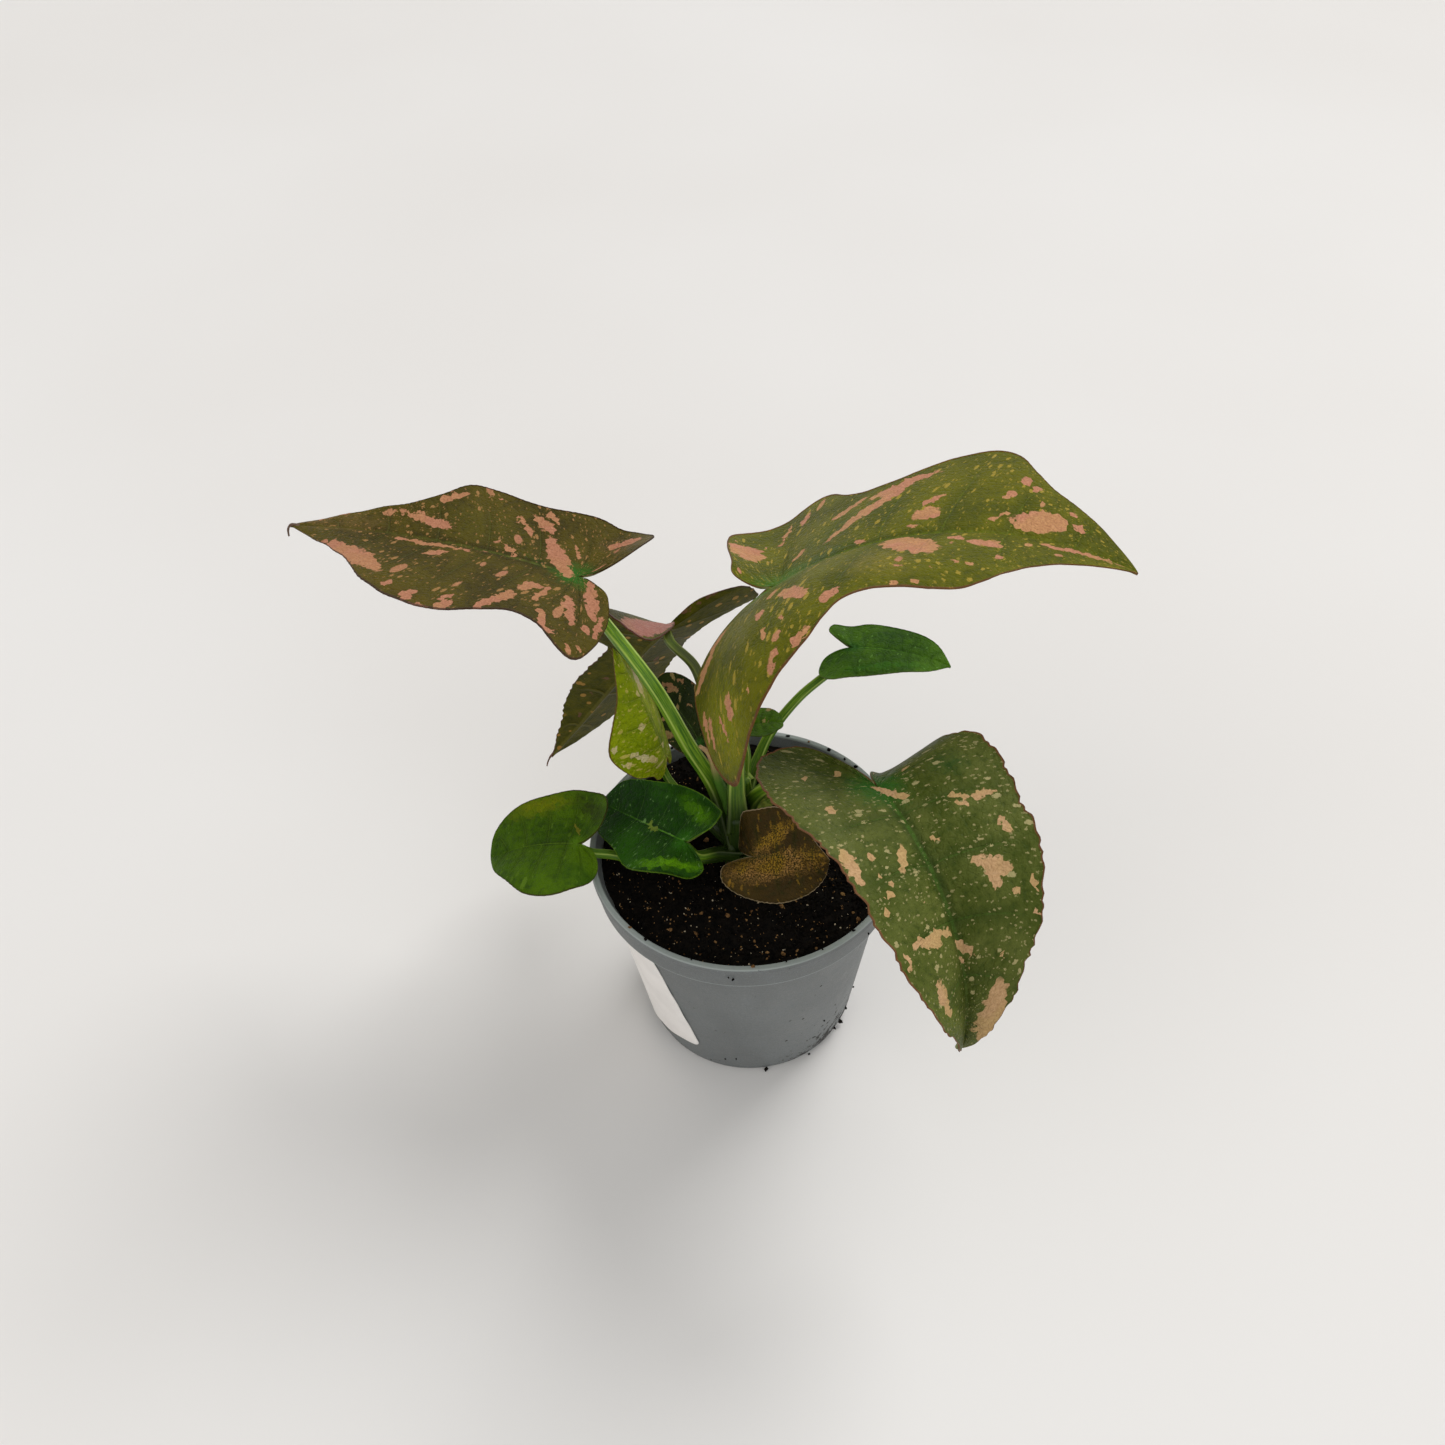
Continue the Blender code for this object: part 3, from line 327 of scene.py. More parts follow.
def detail_mesh(name, blade, look):
    """A leaf blade with puckers between its veins, a midrib, a toothed edge and a drip tip."""
    rows, columns = look["cells"]
    length = blade["length"]
    share = np.linspace(0.0, 1.0, rows + 1)
    rib = length * np.clip((share - FORK) / (1 - FORK), 0.0, 1.0)
    depth = np.linspace(0.0, 1.0, columns + 1)
    first_rib = int(np.searchsorted(share, FORK, side="right"))
    ids, points, flats, veins, counts = {}, [np.array(blade["base"], float)], {}, {}, 1
    rib_ids = np.zeros(rows + 1, int)
    for i in range(first_rib, rows + 1):
        rib_ids[i] = counts
        counts += 1
    seed = look["seed"]
    rib_points = blade_surface(blade, np.stack([rib, np.zeros_like(rib)], -1), 1)
    points += [rib_points[i] for i in range(first_rib, rows + 1)]
    heights = [0.0] * counts
    edge_of = [0.0] * counts
    ribs_of = [0.0] * counts
    pucks = [0.0] * counts
    for sign in (1, -1):
        edge = outline(blade, sign, rows)
        run = np.concatenate([[0.0], np.cumsum(np.linalg.norm(np.diff(edge, axis=0), axis=1))])
        size, pitch = look["teeth"]
        teeth = np.abs((run / pitch + 0.25 * np.sin(run * 0.9 + seed)) % 1.0 - 0.5) * 2
        calm = np.clip((share - 0.12) * 6, 0, 1) * np.clip((1 - share) * 9, 0, 1)
        away = np.stack([np.gradient(edge[:, 1]), -np.gradient(edge[:, 0])], -1) * sign
        away /= np.maximum(np.linalg.norm(away, axis=1), 1e-9)[:, None]
        uneven = 0.4 + 0.6 * np.abs(ripples(run * 0.5, 0 * run, seed + 2 * sign))
        wander = look["wander"] * ripples(run * 0.55, 0 * run, seed + sign)
        edge = edge + away * (((teeth - 0.5) * size * uneven + wander) * calm)[:, None]
        flat = np.stack([rib, np.zeros_like(rib)], -1)[:, None] * (1 - depth)[None, :, None]
        flat = flat + edge[:, None] * depth[None, :, None]
        grid = blade_surface(blade, flat, sign)
        wave, count = blade["wave"]
        ripple = wave * np.sin(math.tau * count * share)[:, None] * (depth ** 2)[None]
        grid = grid + ripple[..., None] * blade_axes(blade)[2]
        bent = share[:, None] - look["sweep"] * depth[None] ** 1.6
        wavy = bent + 0.006 * np.sin(9 * depth[None] + 23 * share[:, None] + seed)
        puck = np.abs(np.sin(math.pi * look["veins"] * wavy)) ** 0.7
        width = np.hypot(*(edge - np.stack([rib, np.zeros_like(rib)], -1)).T)
        off_rib = depth[None] * width[:, None]
        fade = np.sin(math.pi * np.clip(depth[None] / 0.95, 0, 1) ** 0.8) ** 0.8
        height = look["pucker"] * (puck - 0.5) * fade
        height = height - look["groove"] * np.exp(-(off_rib / 0.5) ** 2) * (1 - 0.7 * (rib / length)[:, None])
        height = height + look["swell"] * ripples(flat[..., 0] * 0.35, flat[..., 1] * 0.35, seed) * fade
        identity = np.zeros((rows + 1, columns + 1), int)
        identity[:, 0] = rib_ids
        identity[0, :] = 0
        identity[rows, :] = rib_ids[rows]
        inner = counts + np.arange((rows - 1) * columns).reshape(rows - 1, columns)
        identity[1:rows, 1:] = inner
        counts += (rows - 1) * columns
        points += list(grid[1:rows, 1:].reshape(-1, 3))
        heights += list(height[1:rows, 1:].ravel())
        edge_of += list(np.broadcast_to(depth[None], height.shape)[1:rows, 1:].ravel())
        ribs_of += list(off_rib[1:rows, 1:].ravel())
        pucks += list((puck * fade)[1:rows, 1:].ravel())
        ids[sign] = identity
        flats[sign] = flat
        veins[sign] = np.stack([bent + (0 if sign > 0 else 4), np.broadcast_to(depth[None], bent.shape)], -1)
    points = np.array(points)
    heights, edge_of, ribs_of, pucks = (np.array(v) for v in (heights, edge_of, ribs_of, pucks))
    heights[:rib_ids[rows] + 1] -= look["groove"] * 0.8
    top, corners = [], []
    for sign in (1, -1):
        identity = ids[sign]
        for i in range(rows):
            for j in range(columns):
                quad = [(i, j), (i + 1, j), (i + 1, j + 1), (i, j + 1)]
                kept = []
                for place in quad:
                    if not kept or identity[place] != identity[kept[-1]]:
                        kept.append(place)
                if len(kept) > 1 and identity[kept[0]] == identity[kept[-1]]:
                    kept.pop()
                if len(kept) > 2 and len({identity[place] for place in kept}) == len(kept):
                    if sign < 0:
                        kept = kept[::-1]
                    top.append([identity[place] for place in kept])
                    corners.append([(sign, *place) for place in kept])
    normals = np.zeros_like(points)
    for face in top:
        normal = np.cross(points[face[1]] - points[face[0]], points[face[2]] - points[face[0]])
        normals[face] += normal
    normals /= np.maximum(np.linalg.norm(normals, axis=1), 1e-12)[:, None]
    near = np.exp(-(np.linalg.norm(points - points[0], axis=1) / 1.5) ** 2)[:, None]
    normals = normals * (1 - near) + blade_axes(blade)[2] * near
    normals /= np.linalg.norm(normals, axis=1)[:, None]
    ridge = look["ridge"] * np.exp(-(ribs_of / 0.55) ** 2)
    ridge *= 1 - 0.75 * np.clip(np.linalg.norm(points - points[0], axis=1) / length, 0, 1)
    thick = look["thick"] * (1 - 0.55 * edge_of ** 6) + ridge + 0.3 * look["pucker"] * (1 - pucks)
    upper = points + normals * heights[:, None]
    lower = upper - normals * thick[:, None]
    total = len(points)
    faces = list(top) + [[v + total for v in face[::-1]] for face in top]
    places = list(corners) + [c[::-1] for c in corners]
    slots = [0] * len(top) + [1] * len(top)
    for sign in (1, -1):
        identity = ids[sign]
        for i in range(rows):
            a, b = identity[i, columns], identity[i + 1, columns]
            if a != b:
                rim = [(a, (sign, i, columns)), (b, (sign, i + 1, columns))]
                if sign > 0:
                    rim = rim[::-1]
                (a, place_a), (b, place_b) = rim
                faces.append([a, b, b + total, a + total])
                places.append([place_a, place_b, place_b, place_a])
                slots.append(0)
    mesh = bpy.data.meshes.new(name)
    mesh.from_pydata(np.concatenate([upper, lower]) * MM, [], faces)
    for layer_name, table in (("flat", flats), ("vein", veins)):
        layer = mesh.uv_layers.new(name=layer_name)
        values = np.array([table[sign][i, j] for place in places for sign, i, j in place])
        layer.uv.foreach_set("vector", values.astype(np.float32).ravel())
    mesh.polygons.foreach_set("material_index", slots)
    mesh.update()
    mesh.shade_smooth()
    return mesh


class Nodes:
    """Builds a material's nodes with short calls."""

    def __init__(self, name):
        self.material = bpy.data.materials.new(name)
        self.material.use_nodes = True
        self.tree = self.material.node_tree
        self.shader = self.tree.nodes["Principled BSDF"]

    def add(self, kind, inputs=None, **settings):
        """Add a node, set its properties, and give each named input a value or a link."""
        node = self.tree.nodes.new("ShaderNode" + kind)
        for key, value in settings.items():
            setattr(node, key, value)
        for key, value in (inputs or {}).items():
            self.put(node.inputs[key], value)
        return node

    def put(self, socket, value):
        """Set a socket or link it."""
        if isinstance(value, bpy.types.NodeSocket):
            self.tree.links.new(value, socket)
        elif isinstance(value, tuple) and len(value) == 3 and socket.type == "RGBA":
            socket.default_value = linear(value)
        else:
            socket.default_value = value

    def math(self, operation, a, b=0.0, c=0.0, clamp=False):
        """One sum."""
        return self.add("Math", {0: a, 1: b, 2: c}, operation=operation, use_clamp=clamp).outputs[0]

    def vector(self, operation, a, b=(0.0, 0.0, 0.0), scale=1.0):
        """One vector sum."""
        node = self.add("VectorMath", {0: a, 1: b, 3: scale}, operation=operation)
        return node.outputs["Value" if operation in ("LENGTH", "DOT_PRODUCT", "DISTANCE") else "Vector"]

    def noise(self, where, scale, detail=2.0, rough=0.5, distortion=0.0, colour=False):
        """Noise, near 0.5 on average."""
        node = self.add("TexNoise", {"Vector": where, "Scale": scale, "Detail": detail,
                                     "Roughness": rough, "Distortion": distortion})
        return node.outputs["Color" if colour else "Fac"]

    def cells(self, where, scale, feature="F1", randomness=1.0):
        """Cell pattern."""
        return self.add("TexVoronoi", {"Vector": where, "Scale": scale, "Randomness": randomness},
                        feature=feature)

    def ramp(self, value, low, high, out_low=0.0, out_high=1.0, smooth=True):
        """Value mapped from one range to another and held there."""
        node = self.add("MapRange", {"Value": value, "From Min": low, "From Max": high,
                                     "To Min": out_low, "To Max": out_high},
                        interpolation_type="SMOOTHSTEP" if smooth else "LINEAR")
        return node.outputs["Result"]

    def mix(self, factor, a, b, blend="MIX"):
        """Two colours mixed."""
        node = self.add("Mix", data_type="RGBA", blend_type=blend)
        self.put(node.inputs["Factor"], factor)
        self.put(node.inputs["A"], a)
        self.put(node.inputs["B"], b)
        return node.outputs["Result"]

    def bump(self, height, distance, strength=1.0, normal=None):
        """A normal from a height."""
        inputs = {"Height": height, "Distance": distance, "Strength": strength}
        if normal is not None:
            inputs["Normal"] = normal
        return self.add("Bump", inputs).outputs["Normal"]

    def finish(self, **sockets):
        """Set the shader's sockets by name and give the material back."""
        for key, value in sockets.items():
            self.put(self.shader.inputs[key.replace("_", " ")], value)
        return self.material


def new_object(name, mesh, materials=(), body="root"):
    """Link a mesh as a piece that rides on the one body."""
    obj = bpy.data.objects.new(name, mesh)
    bpy.context.scene.collection.objects.link(obj)
    for material in materials:
        mesh.materials.append(material)
    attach(obj, body)
    return obj


def ragged(n, place, wobble):
    """Positions shifted to the middles of small cells, so that splash edges come out angular."""
    half_way = (0.5, 0.5, 0.5)
    drift = n.vector("SUBTRACT", n.noise(place, 0.4, 2.0, 0.5, colour=True), half_way)
    cells = n.cells(place, 0.95)
    snap = n.vector("SUBTRACT", cells.outputs["Position"], place)
    jagged = n.vector("SUBTRACT", n.noise(place, 2.8, 2.0, 0.6, colour=True), half_way)
    bent = n.vector("ADD", place, n.vector("SCALE", drift, scale=wobble))
    bent = n.vector("ADD", bent, n.vector("SCALE", snap, scale=0.7))
    bent = n.vector("ADD", bent, n.vector("SCALE", jagged, scale=0.35))
    return bent, jagged, cells.outputs["Color"]


def splash_distance(n, bent, shift, splashes):
    """How far outside the nearest splash a point is: below 1 inside it."""
    nearest = None
    for x, y, turn, long, wide in splashes:
        spot = n.add("Mapping", {"Vector": bent, "Location": (x + shift, y, 0.0),
                                 "Rotation": (0.0, 0.0, math.radians(turn)), "Scale": (long, wide, 1.0)},
                     vector_type="TEXTURE").outputs[0]
        away = n.vector("LENGTH", spot)
        nearest = away if nearest is None else n.math("MINIMUM", nearest, away)
    return nearest


def leaf_material(name, blade, look):
    """A leaf's upper face: greens, veins, tints, placed splashes, specks along the veins and rim, and painted shade in
    the grooves along the veins and beside the midrib.
    """
    n = Nodes(name)
    length = blade["length"]
    shift = look["seed"] * 31.7
    flat = n.add("UVMap", uv_map="flat").outputs["UV"]
    vein = n.add("UVMap", uv_map="vein").outputs["UV"]
    place = n.vector("ADD", flat, (shift, 0.0, 0.0))
    split = n.add("SeparateXYZ", {0: vein})
    phase, depth = split.outputs["X"], split.outputs["Y"]
    veinwise = n.add("CombineXYZ", {"X": n.math("MULTIPLY", phase, 1.25 * length),
                                    "Y": n.math("MULTIPLY", depth, 0.14 * length),
                                    "Z": look["seed"] * 7.3}).outputs[0]
    bent, jagged, blocks = ragged(n, place, look["wobble"])

    broad = n.noise(place, 0.1, 3.0, 0.55)
    mottle = n.noise(place, 0.8, 4.0, 0.6)
    fine = n.noise(place, 4.5, 3.0, 0.65)
    green = n.mix(n.ramp(broad, 0.36, 0.64), look["dark"], look["light"])
    for x, y, turn, long, wide, tint, amount in look["tints"]:
        spot = n.add("Mapping", {"Vector": bent, "Location": (x + shift, y, 0.0),
                                 "Rotation": (0.0, 0.0, math.radians(turn)),
                                 "Scale": (long * 1.5, wide * 1.7, 1.0)}, vector_type="TEXTURE").outputs[0]
        green = n.mix(n.ramp(n.vector("LENGTH", spot), 1.0, 0.15, 0.0, amount), green, tint)
    green = n.mix(n.ramp(mottle, 0.4, 0.7, 0.0, 0.4), green, look["light"])
    green = n.mix(n.ramp(mottle, 0.5, 0.3, 0.0, 0.4), green, look["shade"])
    green = n.mix(n.ramp(fine, 0.35, 0.7, 0.0, 0.35), green, look["dark"])

    from_vein = n.math("PINGPONG", n.math("MULTIPLY", phase, look["veins"]), 0.5)
    vein_line = n.math("MULTIPLY", n.ramp(from_vein, 0.03, 0.0), n.ramp(depth, 0.92, 0.4))
    spread = n.add("SeparateXYZ", {0: n.vector("SCALE", flat, scale=1 / length)})
    along = spread.outputs["X"]
    rib_line = n.ramp(n.math("ABSOLUTE", spread.outputs["Y"]), 0.009, 0.003)
    rib_line = n.math("MULTIPLY", rib_line, n.ramp(along, -0.02, 0.01))
    rib_line = n.math("MULTIPLY", rib_line, n.ramp(along, 0.8, 0.1, 0.25, 1.0))
    patchy = n.ramp(mottle, 0.35, 0.6, 0.3, 1.0)
    # painted shade: darker green in the grooves along the side veins
    vein_groove_shade = n.math("MULTIPLY", n.ramp(from_vein, 0.2, 0.02), n.ramp(depth, 0.98, 0.45))
    vein_groove_shade = n.math("MULTIPLY", n.math("MULTIPLY", vein_groove_shade, patchy), look["groove_shade_show"])
    green = n.mix(vein_groove_shade, green, look["shade"])
    green = n.mix(n.math("MULTIPLY", n.math("MULTIPLY", vein_line, patchy), look["vein_show"]), green, look["vein"])
    # painted shade: darker green beside the grooved midrib
    shade_beside_veins = n.ramp(n.math("ABSOLUTE", spread.outputs["Y"]), 0.035, 0.008)
    shade_beside_veins = n.math("MULTIPLY", shade_beside_veins, n.ramp(along, 0.75, 0.3))
    green = n.mix(n.math("MULTIPLY", shade_beside_veins, look["rib_shade"]), green, look["shade"])
    green = n.mix(n.math("MULTIPLY", n.math("MULTIPLY", rib_line, patchy), look["rib_show"]), green, look["vein"])
    from_base = n.math("ADD", n.vector("LENGTH", n.vector("SCALE", flat, scale=1 / length)),
                       n.math("MULTIPLY", n.math("SUBTRACT", mottle, 0.5), 0.12))
    glow = n.ramp(from_base, look["glow_reach"], 0.01)
    green = n.mix(n.math("MULTIPLY", glow, look["glow_show"]), green, look["glow"])

    scatter = n.vector("ADD", veinwise, n.vector("SCALE", jagged, scale=0.4))
    crowd = n.math("MULTIPLY", n.math("SUBTRACT", n.noise(place, 0.14, 2.0), 0.5), look["clump"])
    crowd = n.math("ADD", crowd, n.ramp(from_base, 0.45, 0.05, 0.0, look["speck_base"]))
    specks = []
    for scale, rare, least, most in ((0.36, look["specks"], 0.1, 0.34), (0.95, look["tiny"], 0.14, 0.34),
                                     (2.2, look["dust"], 0.2, 0.36)):
        dots = n.cells(scatter, scale)
        chance = n.add("SeparateColor", {0: dots.outputs["Color"]})
        size = n.ramp(chance.outputs["Red"], 0.0, 1.0, least, most)
        dot = n.ramp(n.math("SUBTRACT", dots.outputs["Distance"], size), 0.02, -0.03)
        shown = n.math("GREATER_THAN", n.math("ADD", chance.outputs["Green"], crowd), rare)
        specks.append(n.math("MULTIPLY", dot, shown))
    mask = splash_distance(n, bent, shift, look["splashes"])
    shade = n.add("SeparateColor", {0: blocks}).outputs["Blue"]
    paint = n.mix(n.ramp(n.noise(place, 0.13, 2.0), 0.44, 0.56), look["splash"], look["splash_b"])
    paint = n.mix(n.math("MULTIPLY", shade, 0.3), paint, look["splash_deep"])
    paint = n.mix(n.ramp(n.noise(place, 2.4, 4.0, 0.7), 0.42, 0.62, 0.0, 0.55), paint, look["splash_deep"])
    colour = n.mix(n.math("MULTIPLY", specks[2], 0.5), green, look["speck"])
    colour = n.mix(n.math("MULTIPLY", specks[1], 0.75), colour, look["speck"])
    colour = n.mix(n.math("MULTIPLY", specks[0], 0.92), colour, paint)
    if mask is not None:
        shown = n.ramp(mask, 1.04, 0.96)
        if look["cloudy"]:
            shown = n.math("MULTIPLY", n.ramp(mask, 1.25, 0.5), n.ramp(n.noise(place, 3.4, 3.0, 0.7), 0.45, 0.56))
        colour = n.mix(shown, colour, paint)
    rim = n.ramp(n.math("ADD", depth, n.math("MULTIPLY", n.math("SUBTRACT", mottle, 0.5), 0.02)), 0.976, 0.988)
    colour = n.mix(n.math("MULTIPLY", rim, look["rim_show"]), colour, look["rim"])

    net = n.cells(n.vector("ADD", place, n.vector("SCALE", jagged, scale=0.4)), 0.9, "DISTANCE_TO_EDGE")
    normal = n.bump(n.ramp(net.outputs["Distance"], 0.0, 0.2), 0.0002, 0.5)
    normal = n.bump(fine, 0.00016, 0.6, normal)
    normal = n.bump(mottle, 0.0006, 0.5, normal)
    normal = n.bump(n.math("SUBTRACT", 1.0, vein_line), 0.0002, 0.7, normal)
    rough = n.ramp(mottle, 0.3, 0.7, look["rough"] - 0.06, look["rough"] + 0.08)
    return n.finish(Base_Color=colour, Roughness=rough, Normal=normal, Specular_IOR_Level=0.1)


def under_material(name, blade, look):
    """A leaf's underside: paler and matte, with the veins raised, painted shade beside them and faint splashes through
    it.
    """
    n = Nodes(name)
    flat = n.add("UVMap", uv_map="flat").outputs["UV"]
    vein = n.add("UVMap", uv_map="vein").outputs["UV"]
    shift = look["seed"] * 31.7
    place = n.vector("ADD", flat, (shift, 0.0, 0.0))
    split = n.add("SeparateXYZ", {0: vein})
    mottle = n.noise(place, 0.5, 4.0, 0.6)
    fine = n.noise(place, 5.0, 3.0, 0.65)
    colour = n.mix(n.ramp(mottle, 0.3, 0.7), look["under"], look["under_b"])
    from_vein = n.math("PINGPONG", n.math("MULTIPLY", split.outputs["X"], look["veins"]), 0.5)
    vein_line = n.math("MULTIPLY", n.ramp(from_vein, 0.05, 0.01), n.ramp(split.outputs["Y"], 0.95, 0.3))
    # painted shade: darker bands beside the veins
    shade_beside_veins = n.math("MULTIPLY", n.ramp(from_vein, 0.25, 0.05), n.ramp(split.outputs["Y"], 1.0, 0.5))
    colour = n.mix(n.math("MULTIPLY", shade_beside_veins, 0.35), colour, look["dark"])
    across = n.math("ABSOLUTE", n.add("SeparateXYZ", {0: flat}).outputs["Y"])
    rib = n.ramp(across, 0.012 * blade["length"], 0.004 * blade["length"])
    vein_line = n.math("MAXIMUM", vein_line, n.math("MULTIPLY", rib, n.ramp(split.outputs["Y"], 0.97, 0.9)))
    colour = n.mix(n.ramp(n.noise(place, 0.12, 3.0), 0.45, 0.65, 0.0, 0.4), colour, look["dark"])
    mask = splash_distance(n, ragged(n, place, look["wobble"])[0], shift, look["splashes"])
    if mask is not None:
        colour = n.mix(n.ramp(mask, 1.1, 0.9, 0.0, 0.5), colour, look["splash_deep"])
    colour = n.mix(n.math("MULTIPLY", vein_line, 0.75), colour, look["under_vein"])
    dots = n.cells(place, 0.5)
    pick = n.add("SeparateColor", {0: dots.outputs["Color"]}).outputs["Red"]
    speck = n.math("MULTIPLY", n.ramp(dots.outputs["Distance"], 0.36, 0.28), n.ramp(pick, 0.75, 0.77))
    colour = n.mix(n.math("MULTIPLY", speck, look["under_specks"]), colour, look["speck"])
    net = n.cells(place, 0.85, "DISTANCE_TO_EDGE").outputs["Distance"]
    normal = n.bump(n.ramp(net, 0.12, 0.0), 0.0001, 0.5)
    normal = n.bump(fine, 0.0001, 0.5, normal)
    normal = n.bump(vein_line, 0.0004, 0.8, normal)
    return n.finish(Base_Color=colour, Roughness=n.ramp(fine, 0.3, 0.7, 0.5, 0.65), Normal=normal,
                    Specular_IOR_Level=0.12)


def look_of(**changes):
    """A leaf's looks, from the usual ones and its own."""
    look = dict(cells=(70, 12), seed=1, teeth=(0.12, 1.3), sweep=0.05, veins=7, pucker=0.16, groove=0.16,
                swell=0.12, ridge=0.35, thick=0.38, wobble=1.5, splashes=(), tints=(), cloudy=False,
                dark=(50, 62, 26), light=(74, 88, 32), vein=(104, 132, 60), vein_show=0.3, rib_show=0.6,
                glow=(66, 128, 44), glow_reach=0.14, glow_show=0.7,
                splash=(190, 126, 108), splash_b=(196, 142, 112), splash_deep=(158, 98, 80),
                specks=0.93, tiny=0.86, dust=0.88, clump=0.9, rib_shade=0.55, groove_shade_show=0.4, speck_base=0.0, speck=(176, 150, 96),
                rim=(96, 48, 40), rim_show=0.8, rough=0.46, shade=(36, 52, 8),
                under=(92, 100, 50), under_b=(112, 112, 60), under_specks=0.4, under_vein=(132, 138, 84), wander=0.0)
    look.update(changes)
    return look


LOOKS = {
    "blade_left_large": look_of(
        cells=(170, 26), seed=2, veins=9, teeth=(0.16, 1.1), wander=0.45, dark=(64, 56, 8), light=(88, 78, 14), shade=(44, 40, 6),
        vein=(92, 104, 36), glow=(36, 104, 16), glow_reach=0.1, specks=0.8, tiny=0.62, dust=0.6,
        rim=(58, 34, 24), speck=(172, 128, 78), splash=(190, 132, 102), splash_b=(188, 136, 96),
        splash_deep=(152, 98, 70)),
    "blade_right_large": look_of(
        cells=(170, 28), seed=3, veins=9, wander=0.4, dark=(78, 82, 0), light=(106, 106, 4), vein=(112, 132, 30), shade=(50, 66, 0),
        glow=(60, 116, 10), glow_reach=0.14, specks=0.82, tiny=0.6, dust=0.55,
        rim=(112, 64, 40), speck=(176, 152, 56), splash=(206, 144, 112), splash_b=(204, 152, 104),
        splash_deep=(162, 108, 76)),
    "blade_front_large": look_of(
        cells=(190, 26), seed=4, veins=9, teeth=(0.8, 2.4), wander=1.1, dark=(66, 78, 20), light=(96, 104, 46), shade=(36, 58, 14),
        vein=(70, 112, 34), glow=(40, 104, 28), glow_reach=0.13, specks=0.95, tiny=0.8, dust=0.5,
        splash=(204, 166, 124), splash_b=(196, 164, 112), splash_deep=(168, 130, 86),
        rim=(122, 74, 52), speck=(182, 170, 120)),
    "blade_back_hanging": look_of(
        cells=(120, 20), seed=5, teeth=(0.8, 1.9), wander=0.6, dark=(56, 56, 0), light=(88, 80, 6),
        tiny=0.7, dust=0.7, splash=(168, 112, 98), splash_b=(172, 122, 98), splash_deep=(132, 84, 74),
        speck=(166, 126, 58), under_vein=(100, 96, 36), under=(62, 64, 0), under_b=(90, 86, 4), under_specks=0.95),
    "blade_young_upright": look_of(
        cells=(80, 14), seed=6, dark=(118, 136, 0), light=(148, 162, 10), shade=(70, 92, 0), vein=(156, 164, 70), specks=0.8,
        tiny=0.5, dust=0.5, speck_base=0.5, speck=(196, 180, 92), glow=(140, 156, 50), rim=(104, 56, 34),
        splash=(208, 196, 150), splash_b=(204, 184, 126), splash_deep=(176, 164, 92),
        under=(124, 134, 44), under_b=(136, 142, 56)),
    "blade_dark_back": look_of(seed=7, dark=(30, 42, 10), light=(50, 62, 16), splash=(172, 152, 90),
                               splash_b=(166, 134, 88), tiny=0.55, specks=0.7),
    "blade_small_back": look_of(cells=(44, 9), seed=8, dark=(56, 92, 0), light=(84, 120, 6), rim_show=0.2),
    "blade_small_right": look_of(seed=9, dark=(46, 82, 2), light=(74, 114, 8), vein=(100, 156, 44), shade=(34, 66, 0),
                                 glow=(34, 84, 18), rim_show=0.2, specks=1.2, tiny=0.96, dust=0.9, clump=0.2, speck=(110, 156, 70)),
    "blade_front_round": look_of(seed=10, teeth=(0.25, 1.1), dark=(52, 38, 12), light=(70, 54, 18),
                                 vein=(60, 58, 22), glow=(50, 52, 18), specks=1.2, tiny=0.7, dust=0.5,
                                 speck=(150, 114, 34), rim=(176, 156, 124), cloudy=True,
                                 splash=(176, 138, 40), splash_b=(184, 138, 80), splash_deep=(130, 98, 30)),
    "blade_front_heart": look_of(cells=(80, 14), seed=11, dark=(18, 58, 0), light=(40, 86, 2), shade=(12, 40, 4),
                                 vein=(98, 156, 44), rib_show=0.9, glow=(54, 118, 16), rim_show=0.4,
                                 rim=(120, 156, 36), specks=1.2, tiny=0.92, dust=0.72, clump=0.5, speck=(112, 152, 84),
                                 splash=(120, 140, 50), splash_b=(120, 140, 50), splash_deep=(100, 120, 40)),
    "blade_left_round": look_of(seed=12, dark=(52, 84, 0), light=(80, 112, 2), vein=(118, 156, 34),
                                glow=(92, 132, 14), rim=(60, 48, 18), specks=1.2, tiny=0.93, dust=0.85, clump=0.3,
                                speck=(96, 128, 30), splash=(118, 118, 30), splash_b=(118, 118, 30),
                                splash_deep=(100, 100, 24)),
    "blade_bud": look_of(cells=(30, 7), seed=13, dark=(70, 112, 20), light=(140, 138, 60), pucker=0.08,
                         specks=0.6, rim_show=0.3, splash=(198, 156, 134), splash_b=(198, 156, 134)),
}

